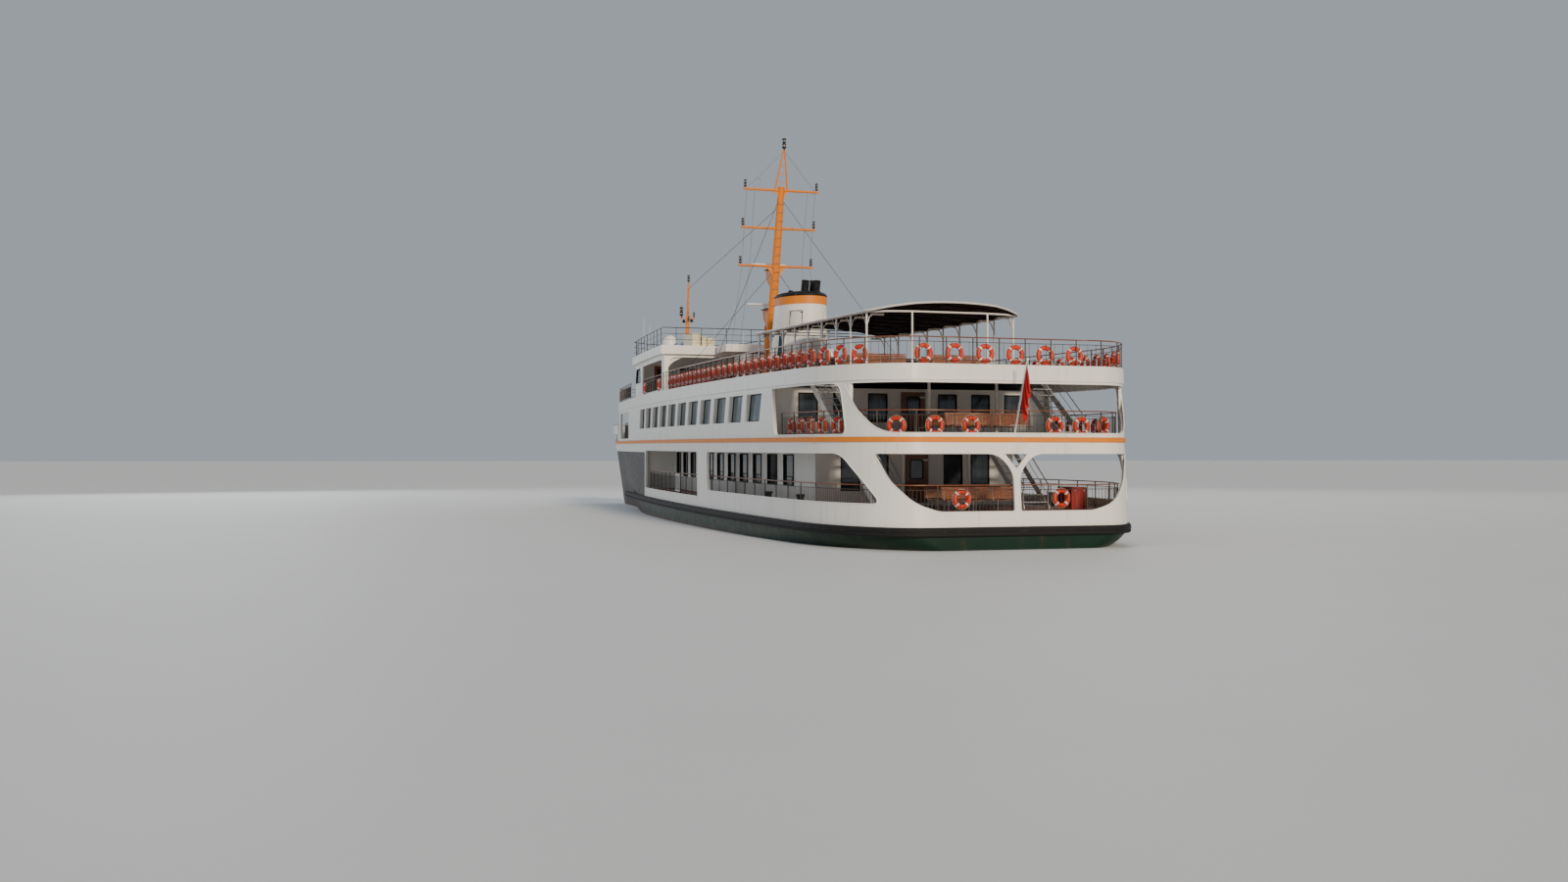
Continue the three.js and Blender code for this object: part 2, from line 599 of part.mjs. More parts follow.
const upperWalls = [HEIGHT.upperDeck + GAP, HEIGHT.upperHead - GAP];
const upperDoorSill = HEIGHT.upperDeck + 0.15;
const UPPER_DOOR = { wide: 1.0, tall: 1.85 };
const upperHinge = -UPPER_DOOR.wide / 2 - DOOR.lap;
const aftCabin = UPPER_CABIN.aft;
add("upper_aft_bulkhead", bulkhead(aftCabin, upperWalls, PLATE + 2 * SEAM, [
  ...[-5.3, -3.7, -2.1, 1.2, 2.8, 4.4].map((y) => box([9, 11], [y, y + 0.9], [4.95, 6.2])),
  doorway(aftCabin, -UPPER_DOOR.wide / 2, UPPER_DOOR, upperDoorSill),
], [doorLug(aftCabin - 0.05, upperHinge, upperDoorSill)]), "white");
add("upper_aft_door", doorLeaf(UPPER_DOOR), "white", [aftCabin - 0.05 - DOOR.off, upperHinge, upperDoorSill]);
add("upper_fore_bulkhead", bulkhead(UPPER_CABIN.fore, upperWalls, PLATE + 3 * SEAM, [
  ...[-1.6, 0.7].map((y) => box([50, 51], [y, y + 0.9], [4.95, 6.2])),
]), "white");

// Bow bulwark
function bowBulwark() {
  const [low, high] = [HEIGHT.upperDeck + GAP, 5.5];
  const port = portPoints(low, SHELL_FORE + 0.02, DECK_FORE - 0.05).reverse();
  const flared = port.map(([x, y]) => [x + (x > 65 ? 0.6 : 0.12), y + 0.12]);
  const around = (path) => [...path.map(([x, y]) => [x, -y]).reverse(), ...path];
  return wall(around(port), around(flared), [low, high], 0.1);
}
add("bow_bulwark", bowBulwark(), "white");

// Top deck and its band
const BAND = { out: 0.05, thick: 0.16 };
const band = [HEIGHT.upperHead, HEIGHT.bandTop];
const bandLoop = (height) => {
  const port = portPoints(height, 0, SHELL_FORE + 0.4).reverse();
  return offsetPath([...port, ...port.map(([x, y]) => [x, -y]).reverse()], -BAND.out, true);
};
add("top_band", wall(bandLoop(band[0]), bandLoop(band[1]), band, BAND.thick, true), "white");

function topDeck() {
  const low = HEIGHT.topDeck - 0.14;
  const floor = deck(SHELL_FORE + 0.2, [low, HEIGHT.topDeck], BAND.thick - BAND.out + SEAM);
  return cut(floor, ...bothSides(WELL.x, WELL.upper, [6, 8]));
}
add("top_deck", topDeck(), "deck");

// Stairs, rising forward through the wells
function flight([x0, x1], [y0, y1], [low, high], steps) {
  const corners = [[x0, low]];
  const run = (x1 - x0) / steps;
  const rise = (high - low) / steps;
  for (let i = 0; i < steps; i++) {
    corners.push([x0 + i * run, low + (i + 1) * rise], [x0 + (i + 1) * run, low + (i + 1) * rise]);
  }
  corners.push([x1, high - 0.35], [x0 + 0.45, low]);
  return slab("y", corners.reverse(), [y0, y1]);
}

const STAIR_STEPS = 9;
const inner = (span, gap = 0.06) => [span[0] + gap, span[1] - gap];
addPair("main_stair", flight([4.7, 8.5 - GAP], inner(WELL.main), [HEIGHT.mainDeck + GAP, HEIGHT.upperDeck - 0.02], STAIR_STEPS), "grey");
addPair("upper_stair", flight([4.7, 8.5 - GAP], inner(WELL.upper), [HEIGHT.upperDeck + GAP, HEIGHT.topDeck - 0.02], STAIR_STEPS), "grey");

// Rails
const RAIL = { post: 0.035, spacing: 3 };
const mainRailPath = portPoints(HEIGHT.mainRail, 3.6, 40.4, 0.3);
const mainRailWhole = railOf(mainRailPath, HEIGHT.mainDeck, { ...RAIL, top: HEIGHT.mainRail, bars: [1.9] });

function mainRail() {
  const { from, wide, clear, low, boss } = GATE;
  const way = box([from - clear, from + wide + clear], [2, 8], [HEIGHT.mainDeck + 0.035, 3]);
  const line = [from - 2 * clear, from + wide + 2 * clear].map((x) => [x, railLine(x)]);
  const sill = ribbon(line, HEIGHT.mainDeck + GAP, HEIGHT.mainDeck + 0.035, 0.05, false);
  const posts = line.map(([x, y]) => box([x - 0.035, x + 0.035], [y - 0.035, y + 0.035],
    [HEIGHT.mainDeck + GAP, HEIGHT.mainRail - 0.02]));
  const foot = [from, railLine(from), HEIGHT.mainDeck + 0.01];
  const pin = bar(foot, [foot[0], foot[1], HEIGHT.mainDeck + low - GAP], boss, boss, 8);
  return join(cut(mainRailWhole, way), sill, ...posts, pin);
}
addPair("main_rail", mainRail(), "wood");

function quarterRail() {
  const loop = offsetPath(sternLoop(HEIGHT.upperRail, 9.2), 0.22);
  return railOf(loop, HEIGHT.upperDeck, { ...RAIL, top: HEIGHT.upperRail, bars: [4.75] });
}
add("upper_rail", quarterRail(), "wood");

const topLoop = offsetPath(sternLoop(HEIGHT.bandTop, 33.4), 0.03);
add("top_rail", railOf(topLoop, HEIGHT.bandTop, { ...RAIL, top: HEIGHT.topRail, bars: [7.45] }), "wood");

function foreRail() {
  const port = portPoints(HEIGHT.bandTop, 49.6, SHELL_FORE + 0.36);
  const path = offsetPath([...port, ...port.map(([x, y]) => [x, -y]).reverse()], -0.03);
  return railOf(path, HEIGHT.bandTop, { ...RAIL, top: HEIGHT.topRail, bars: [7.45] });
}
add("fore_rail", foreRail(), "wood");

// Wheelhouse: side shell with the wing openings, cab with its windows, roof
const WHEELHOUSE = { aft: 33.6, cab: 43.9, shoulder: 47, nose: 49.2, inset: 0.12, wall: 0.1, eaves: 0.22 };
const ROOF_UNDER = HEIGHT.roof - 0.12;

function wheelhousePath(out = 0) {
  const { aft, shoulder, nose } = WHEELHOUSE;
  const side = [shoulder, 42, 36, aft].map((x) => [x, halfAt(x, HEIGHT.topRail) - WHEELHOUSE.inset]);
  const front = [[nose, 0.9], [nose - 0.8, 2.1]];
  const port = [...front, ...side];
  return offsetPath([...port, ...port.map(([x, y]) => [x, -y]).reverse()], -out, true);
}

function wheelhouse() {
  const path = wheelhousePath();
  const edge = wheelhousePath(WHEELHOUSE.eaves);
  const walls = wall(path, path, [HEIGHT.topDeck + GAP, ROOF_UNDER - GAP], WHEELHOUSE.wall, true);
  const fascia = wall(edge, edge, [HEIGHT.roofLow, ROOF_UNDER - GAP], WHEELHOUSE.eaves + WHEELHOUSE.wall / 2, true);
  const wing = [[35.7, 7.75, 0.3], [43.2, 7.75, 0.3], [43.2, 8.85, 0.3], [35.7, 8.85, 0.3]];
  const glass = [[44.4, 7.9], [47.0, 7.9], [46.6, 8.8], [44.4, 8.8]];
  const front = [-2.6, -1.55, -0.45, 0.65, 1.7].map((y) => box([47.3, 50], [y, y + 0.9], [7.95, 8.8]));
  const aftWays = [box([33, 34.2], [-3.4, -2.2], [7.05, 9.0]), box([33, 34.2], [2.2, 3.4], [7.05, 9.0])];
  return cut(join(walls, fascia), slab("y", wing, [-8, 8]), slab("y", glass, [-8, 8]), ...front, ...aftWays);
}
add("wheelhouse", wheelhouse(), "white");

const cabWalls = [HEIGHT.topDeck + GAP, ROOF_UNDER - GAP];
const CAB_DOOR = { y: 2.0, wide: 0.8, tall: 1.85 };
const cabSill = HEIGHT.topDeck + 0.15;
const cabFace = WHEELHOUSE.cab - 0.05;
const cabHinge = CAB_DOOR.y - DOOR.lap;
const cabDoorways = [CAB_DOOR.y, -CAB_DOOR.y - CAB_DOOR.wide].map((y) => doorway(cabFace, y, CAB_DOOR, cabSill));
const cabLugs = [cabHinge, -cabHinge].map((y) => doorLug(cabFace, y, cabSill));
add("cab_bulkhead", bulkhead(WHEELHOUSE.cab, cabWalls, WHEELHOUSE.inset + 0.11, [
  ...cabDoorways, box([43, 45], [-1.2, 1.2], [7.95, 8.8]),
], cabLugs), "white");
addPair("cab_door", doorLeaf(CAB_DOOR), "wood", [cabFace - DOOR.off, cabHinge, cabSill]);

function wheelhouseRoof() {
  const plate = slab("z", wheelhousePath(WHEELHOUSE.eaves).reverse(), [ROOF_UNDER, HEIGHT.roof]);
  const step = box([31.2, 34], [-2, 2], [ROOF_UNDER, HEIGHT.roof]);
  return join(plate, step);
}
add("wheelhouse_roof", wheelhouseRoof(), "white");

const roofRailPath = offsetPath(wheelhousePath(0.1), 0, true);
add("roof_rail", railOf(roofRailPath, HEIGHT.roof, { ...RAIL, top: HEIGHT.roofRail, bars: [10.1], closed: true, cap: 0.04 }), "white");

// Funnel with its cap and exhaust pipes
const FUNNEL = { x: 25, base: [2.3, 1.5], top: [1.9, 1.25], height: 11.6, lean: -0.5, sides: 16 };

function ovalRing([long, half], centre, height, grow = 0) {
  return [...Array(FUNNEL.sides).keys()].map((i) => {
    const turn = (i * 2 * Math.PI) / FUNNEL.sides;
    return [centre + (long + grow) * Math.cos(turn), (half + grow) * Math.sin(turn), height];
  });
}

function funnel() {
  const { x, base, top, height, lean } = FUNNEL;
  return loft([ovalRing(base, x, HEIGHT.topDeck + GAP), ovalRing(top, x + lean, height)]);
}
add("funnel", funnel(), "orange");

function funnelCap() {
  const { x, top, height, lean } = FUNNEL;
  const rings = [[0.06, 0], [0.06, 0.12], [-0.25, 0.3], [-0.9, 0.42]].map(([grow, up]) =>
    ovalRing(top, x + lean, height + GAP + up, grow),
  );
  const pipes = [-0.7, -0.25, 0.25, 0.7].map((y, i) => {
    const foot = x + lean + (i % 2 ? 0.1 : -0.5);
    return bar([foot, y, height + 0.2], [foot - 0.55, y, height + 1.0], 0.14, 0.14, 8);
  });
  return join(loft(rings), ...pipes);
}
add("funnel_cap", funnelCap(), "black");

// Mast with its yards, topmast and radar brackets
const MAST = { foot: [30.1, 0, HEIGHT.topDeck - 0.1], head: [27.6, 0, 17.9], radius: 0.24, end: 0.12 };
const YARDS = [[13.7, 2.05], [15.7, 2.05], [17.7, 2.05]];
const RADARS = [["upper", 13.9, 1.3], ["lower", 11.75, 1.4]];
const SCANNER = { half: 1.1, tall: 0.12, deep: 0.1, stem: 0.12 };

function mastAt(height) {
  const [foot, head] = [MAST.foot, MAST.head];
  return foot[0] + ((head[0] - foot[0]) * (height - foot[2])) / (head[2] - foot[2]);
}

function mast() {
  const pole = bar(MAST.foot, MAST.head, MAST.radius, MAST.end, 10);
  const yards = YARDS.flatMap(([height, half]) => {
    const x = mastAt(height);
    const lamps = [-half, half].map((y) => bar([x, y, height - 0.12], [x, y, height + 0.4], 0.11, 0.11, 6));
    return [bar([x, -half, height], [x, half, height], 0.05, 0.05, 6), ...lamps];
  });
  const brackets = RADARS.flatMap(([, height, reach]) => {
    const x = mastAt(height);
    const shelf = box([x, x + reach + 0.25], [-0.22, 0.22], [height - 0.34, height - 0.28]);
    const strut = bar([x, 0, height - 1.1], [x + reach, 0, height - 0.3], 0.05, 0.05, 6);
    const drum = bar([x + reach, 0, height - 0.3], [x + reach, 0, height - 0.1], 0.2, 0.16, 8);
    return [shelf, strut, drum];
  });
  const top = mastAt(17.7);
  const legs = [-0.35, 0.35].map((y) => bar([top, y, 17.7], [top - 0.5, 0, 19.9], 0.05, 0.05, 6));
  const lamp = bar([top - 0.5, 0, 19.7], [top - 0.5, 0, 20.5], 0.1, 0.08, 6);
  return join(pole, ...yards, ...brackets, ...legs, lamp);
}
add("mast", standing(mast(), HEIGHT.topDeck), "orange");

for (const [name, height, reach] of RADARS) {
  const arm = box([-SCANNER.deep, SCANNER.deep], [-SCANNER.half, SCANNER.half], [0.06, 0.06 + SCANNER.tall]);
  const stem = bar([0, 0, GAP], [0, 0, 0.1], SCANNER.stem);
  add("radar_scanner_" + name, join(arm, stem), "white", [mastAt(height) + reach, 0, height - 0.1]);
}

// Foremast on the wheelhouse roof, with its lamp cluster
function foremast() {
  const x = 46.6;
  const pole = bar([x, 0, HEIGHT.roof - 0.05], [x - 0.5, 0, 15], 0.14, 0.06, 8);
  const cluster = [-0.35, 0, 0.35].map((y) => bar([x - 0.2, y, 12.2], [x - 0.2, y, 12.75], 0.12, 0.12, 6));
  const arm = box([x - 0.35, x - 0.05], [-0.45, 0.45], [12.15, 12.25]);
  return join(pole, arm, ...cluster);
}
add("foremast", standing(foremast(), HEIGHT.roof), "orange");

// Roof gear
function dome() {
  const profile = [[0, 0], [0.2, 0], [0.2, 0.35], [0.4, 0.5], [0.42, 0.8], [0.3, 1.1], [0, 1.2]];
  const points = profile.map(([r, z]) => new THREE.Vector2(r, z));
  return new THREE.LatheGeometry(points, 12).rotateX(Math.PI / 2).translate(42.5, 2.2, HEIGHT.roof + GAP);
}
add("satellite_dome", dome(), "white");
add("roof_bundle", box([36.2, 39.4], [2.2, 3.1], [HEIGHT.roof + GAP, HEIGHT.roof + 0.55]), "blue");
add("roof_lockers", box([33.9, 35.8], [1.9, 3.2], [HEIGHT.roof + GAP, HEIGHT.roof + 0.75]), "cream");
add("mast_locker", box([30.9, 32.6], [-1.1, 1.1], [HEIGHT.topDeck + GAP, HEIGHT.topDeck + 2.1]), "white");
add("fore_locker", box([52.4, 53.8], [0.2, 1.4], [HEIGHT.topDeck + GAP, HEIGHT.topDeck + 0.8]), "white");

// Awning over the aft top deck
const AWNING = { aft: 5.7, fore: 21.5, half: 3.5, edge: 9.5, ridge: 9.9, thick: 0.05, line: 3.35, tube: 0.04 };
const AWNING_POSTS = [7.0, 8.8, 10.5, 12.3, 14.1, 15.9, 17.6, 19.4, 21.2];

const awningLevel = (u) => AWNING.edge + (AWNING.ridge - AWNING.edge) * (1 - u * u);

function awningRoof() {
  const { aft, fore, half, thick, line } = AWNING;
  const stations = [[aft, 0.55], [aft + 0.3, 0.8], [aft + 1, 1], [fore, 1]];
  const across = [-1, -line / half, -0.5, 0, 0.5, line / half, 1];
  const rings = stations.map(([x, width]) => {
    const upper = across.map((u) => [x, u * half * width, awningLevel(u * width)]);
    const lower = across.map((u) => [x, u * half * width, awningLevel(u * width) - thick]).reverse();
    return [...upper, ...lower];
  });
  return loft(rings);
}
add("awning", awningRoof(), "canvas");

function awningFrame() {
  const { aft, fore, half, thick, line, tube } = AWNING;
  const under = awningLevel(line / half) - thick - tube - GAP;
  const rails = [line, -line].map((y) => bar([aft + 1, y, under], [fore - 0.1, y, under], tube, tube, 4));
  const posts = AWNING_POSTS.flatMap((x) =>
    [line, -line].map((y) => bar([x, y, HEIGHT.topDeck + GAP], [x, y, under], tube, tube, 4)),
  );
  const beams = AWNING_POSTS.map((x) => bar([x, -line, under], [x, line, under], 0.03, 0.03, 4));
  const ends = [1.7, -1.7].map((y) => bar([aft + 0.4, y, HEIGHT.topDeck + GAP], [aft + 0.4, y, under], tube, tube, 6));
  const closing = [
    bar([aft + 0.4, -1.9, under], [aft + 0.4, 1.9, under], tube, tube, 6),
    ...[1, -1].map((s) => bar([aft + 0.4, s * 1.9, under], [aft + 1.1, s * line, under], tube, tube, 6)),
  ];
  return join(...rails, ...posts, ...beams, ...ends, ...closing);
}
add("awning_frame", awningFrame(), "white");

// Benches: seat and back on cross legs, joined in rows by a pair of runners on the deck
function benchRow([x, y0, y1], deckHeight, faces = 1) {
  const low = deckHeight + GAP;
  const seat = box([x - 0.22, x + 0.22], [y0, y1], [low + 0.4, low + 0.46]);
  const back = slab("y", [[0.16, 0.4], [0.22, 0.4], [0.34, 0.95], [0.28, 0.95]].map(([a, z]) => [x + faces * a, low + z]),
    [y0, y1]);
  const legs = [y0 + 0.15, y1 - 0.21].map((y) => box([x - 0.2, x + 0.2], [y, y + 0.06], [low, low + 0.42]));
  return [seat, back, ...legs];
}

function benchBlock(rows, deckHeight, [y0, y1], [x0, x1]) {
  const low = deckHeight + GAP;
  const runners = [y0 + 0.15, y1 - 0.21].map((y) => box([x0, x1], [y, y + 0.06], [low, low + 0.06]));
  const cross = box([x0, x0 + 0.06], [y0 + 0.15, y1 - 0.15], [low, low + 0.06]);
  return join(...rows.flatMap((x) => benchRow([x, y0, y1], deckHeight)), ...runners, cross);
}

const topRows = [9, 10.6, 12.2, 13.8, 15.4, 17, 18.6, 20.2];
add("top_benches_port", benchBlock(topRows, HEIGHT.topDeck, [0.6, 3.0], [8.6, 20.8]), "wood");
add("top_benches_starboard", benchBlock(topRows, HEIGHT.topDeck, [-3.0, -0.6], [8.6, 20.8]), "wood");
add("upper_benches", benchBlock([2.4, 4.0, 5.6], HEIGHT.upperDeck, [-1.8, 1.8], [2.0, 6.2]), "wood");
add("main_benches", benchBlock([3.0, 4.6, 6.2], HEIGHT.mainDeck, [-1.7, 1.7], [2.6, 6.8]), "wood");

// Flagstaff and flag
const STAFF = { foot: [0.36, 0, STERN_SILL - 0.1], head: [-0.75, 0, 7.2], radius: 0.035 };
const staffAt = (z) => STAFF.foot[0]
  + ((STAFF.head[0] - STAFF.foot[0]) * (z - STAFF.foot[2])) / (STAFF.head[2] - STAFF.foot[2]);
const hoist = [7.1, 5.95].map((z) => [staffAt(z) - STAFF.radius * 1.02, z]);
add("flagstaff", standing(bar(STAFF.foot, STAFF.head, STAFF.radius, STAFF.radius, 8), STERN_SILL), "white");
add("flag", slab("y", [...hoist, [-0.33, 4.95], [-0.6, 4.8]], [-0.07, 0.07]), "red");

// Locker on the starboard side of the main deck
add("locker_main", box([4.4, 5.6], [-5.4, -4.7], [HEIGHT.mainDeck + GAP, HEIGHT.mainDeck + 0.9]), "red");

export default group;
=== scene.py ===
"""Looks of the half-size passenger ferry.

Sizes are the full-size ship's, in metres: x forward from the stern, y to port, z above the water.
place() turns them into the model's own metres, with the origin amidships on the waterline.
"""
import random
from math import acos, asin, ceil, cos, dist, hypot, pi, radians, sin

import bmesh
import bpy
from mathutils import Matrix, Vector


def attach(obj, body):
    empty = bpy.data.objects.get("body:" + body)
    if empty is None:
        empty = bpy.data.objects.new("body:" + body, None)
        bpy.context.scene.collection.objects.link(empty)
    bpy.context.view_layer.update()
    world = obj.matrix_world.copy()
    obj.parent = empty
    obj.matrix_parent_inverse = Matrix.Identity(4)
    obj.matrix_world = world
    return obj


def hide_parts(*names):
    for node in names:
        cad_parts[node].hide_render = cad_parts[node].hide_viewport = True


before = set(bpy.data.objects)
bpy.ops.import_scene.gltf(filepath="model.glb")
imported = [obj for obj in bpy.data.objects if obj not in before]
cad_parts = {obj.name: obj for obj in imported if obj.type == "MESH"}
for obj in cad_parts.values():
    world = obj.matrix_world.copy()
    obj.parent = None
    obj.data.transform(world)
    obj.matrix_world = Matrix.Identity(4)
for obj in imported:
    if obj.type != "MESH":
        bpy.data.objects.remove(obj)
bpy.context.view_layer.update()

random.seed(11)

# Driving dimensions, the same as the solids'
HALF_SIZE = 0.5
LENGTH = 67
MIDSHIP = LENGTH / 2
HALF_BEAM = 6.6
TAPER = 1.8
TRANSOM_HALF = 3.7
QUARTER = 6.4
STERN_RAKE = 0.08
SHEER = {"slope": 0.0065, "drop": 0.03}
PLATE = 0.12
EDGE = 0.04
SEAM = 0.001
KEEL, STRAKE_LOW, STRAKE, MAIN_DECK, MAIN_SILL, MAIN_RAIL = -2.9, 0.55, 0.9, 1.35, 1.47, 2.48
MAIN_HEAD, UPPER_LOW, UPPER_DECK, UPPER_RAIL, UPPER_HEAD = 3.65, 4.07, 4.27, 5.3, 6.4
TOP_DECK, BAND_TOP, TOP_RAIL, ROOF_LOW, ROOF, ROOF_RAIL = 6.93, 7.02, 8.04, 9.1, 9.6, 10.6
SHELL_FORE = 60
FORECASTLE = 41
DECK_FORE = 65.6
MAIN_HOUSE_AFT, UPPER_HOUSE_AFT, UPPER_HOUSE_FORE = 9.6, 9.95, 50.55
SIDES = ((1, "port"), (-1, "starboard"))


def place(point):
    x, y, z = point
    raised = z + SHEER["slope"] * x - SHEER["drop"]
    return ((x - MIDSHIP) * HALF_SIZE, y * HALF_SIZE, raised * HALF_SIZE)


# Rows of values
def even(start, end, count):
    """Evenly spaced values from start to end, both included."""
    return [start + (end - start) * k / count for k in range(count + 1)]


def full_turn(steps):
    return even(0, 2 * pi, steps)[:-1]


def quarter_turn(steps):
    return even(0, pi / 2, steps)


def grid(rows, columns):
    """Faces of a sheet whose points run along the columns, row after row."""
    size = columns + 1
    return [[i * size + j, i * size + j + 1, (i + 1) * size + j + 1, (i + 1) * size + j]
            for i in range(rows) for j in range(columns)]


# The ship's side in plan
QUARTER_STEPS = 18
STATION_STEP = 1.2


def stern_at(height):
    return STERN_RAKE * max(0.0, height - STRAKE)


def half_at(x, height=STRAKE):
    stern = stern_at(height)
    if x < QUARTER:
        turn = acos(max(-1.0, min(1.0, 1 - (x - stern) / (QUARTER - stern))))
        return TRANSOM_HALF + (HALF_BEAM - TRANSOM_HALF) * sin(turn)
    return max(EDGE, HALF_BEAM * (1 - ((x - QUARTER) / (LENGTH - QUARTER)) ** TAPER))


def port_path(height, start, end):
    """The port side from one station to another, going forward."""
    stern = stern_at(height)
    arc = [stern + (QUARTER - stern) * (1 - cos(t)) for t in quarter_turn(QUARTER_STEPS)]
    run = even(QUARTER, LENGTH, round((LENGTH - QUARTER) / STATION_STEP))[1:]
    first = max(start, stern)
    inside = [x for x in arc + run if first + 0.01 < x < end - 0.01]
    return [(x, half_at(x, height)) for x in [first, *inside, end]]


def stern_loop(height, fore):
    """From a station on the port side round the stern to the same station to starboard."""
    port = port_path(height, 0, fore)[::-1]
    across = [(stern_at(height), TRANSOM_HALF * (1 - i / 3)) for i in range(1, 6)]
    return port + across + [(x, -y) for x, y in reversed(port)]


def both_sides(port):
    """A port path going aft, then its mirror image going forward."""
    return port + [(x, -y) for x, y in reversed(port)]


def offset(path, amount, closed=False):
    """A plan path moved sideways, to its left where the amount is positive."""
    moved = []
    size = len(path)
    for i, (x, y) in enumerate(path):
        before = path[i - 1] if closed or i else path[i]
        after = path[(i + 1) % size] if closed or i < size - 1 else path[i]
        legs = [Vector((x - before[0], y - before[1])), Vector((after[0] - x, after[1] - y))]
        legs = [leg.normalized() for leg in legs if leg.length > 1e-6]
        way = sum(legs, Vector((0, 0))).normalized()
        stretch = 1 / max(0.5, way.dot(legs[0]))
        moved.append((x - way.y * amount * stretch, y + way.x * amount * stretch))
    return moved


def along(path, spacing, closed=False):
    """Points every spacing or so along a path, each with the path's direction there."""
    points = [Vector(p) for p in (path + path[:1] if closed else path)]
    lengths = [(b - a).length for a, b in zip(points, points[1:])]
    total = sum(lengths)
    count = max(1, round(total / spacing))
    found = []
    for k in range(count + (0 if closed else 1)):
        rest = min(k / count * total, total - 1e-6)
        i = 0
        while rest > lengths[i]:
            rest -= lengths[i]
            i += 1
        way = (points[i + 1] - points[i]).normalized()
        found.append((points[i] + way * rest, way))
    return found


def rounded(corners, steps=6):
    """An outline [(a, b)] from corners [a, b, radius]; the radius is how far the round reaches."""
    points = []
    for i, corner in enumerate(corners):
        here = Vector(corner[:2])
        radius = corner[2] if len(corner) > 2 else 0
        if not radius:
            points.append(tuple(here))
            continue
        before, after = Vector(corners[i - 1][:2]), Vector(corners[(i + 1) % len(corners)][:2])
        start = here + (before - here).normalized() * radius
        end = here + (after - here).normalized() * radius
        for k in range(steps + 1):
            t = k / steps
            points.append(tuple(start * (1 - t) ** 2 + here * 2 * t * (1 - t) + end * t * t))
    return points


def mirrored(corners):
    return [[-corner[0], *corner[1:]] for corner in corners]


def fine(outline, step=0.4):
    """A closed outline with points added, so that it can follow a curved surface."""
    points = []
    for a, b in zip(outline, outline[1:] + outline[:1]):
        count = max(1, ceil(dist(a, b) / step))
        for k in range(count):
            points.append(tuple(p + (q - p) * k / count for p, q in zip(a, b)))
    return points


def hollow_corner(a, b, reach, drop):
    """Points of a concave quarter round, from (a + reach, b) to (a, b - drop)."""
    return [(a + reach * (1 - sin(t)), b - drop * (1 - cos(t))) for t in quarter_turn(8)[1:]]


# Ways to lay an outline on a surface: each takes (a, b, depth) to a point, depth going inward
def on_side(side):
    return lambda a, b, d: (a, side * (half_at(a, b) - d), b)


def on_stern(a, b, d):
    stern = stern_at(b)
    part = max(0.0, min(1.0, (abs(a) - TRANSOM_HALF) / (HALF_BEAM - TRANSOM_HALF)))
    return (stern + (QUARTER - stern) * (1 - cos(asin(part))) + d, a, b)


def on_house(side, walk):
    return lambda a, b, d: (a, side * (half_at(a) - walk - d), b)


def facing_aft(x):
    """On a flat wall across the ship, seen from astern."""
    return lambda a, b, d: (x + d, a, b)


def facing_fore(x):
    """On a flat wall across the ship, seen from ahead."""
    return lambda a, b, d: (x - d, a, b)


def lengthwise(a, b, d):
    """On an upright plane along the ship, its depth to port."""
    return (a, d, b)


PANE = 0.012
RIM = 0.022


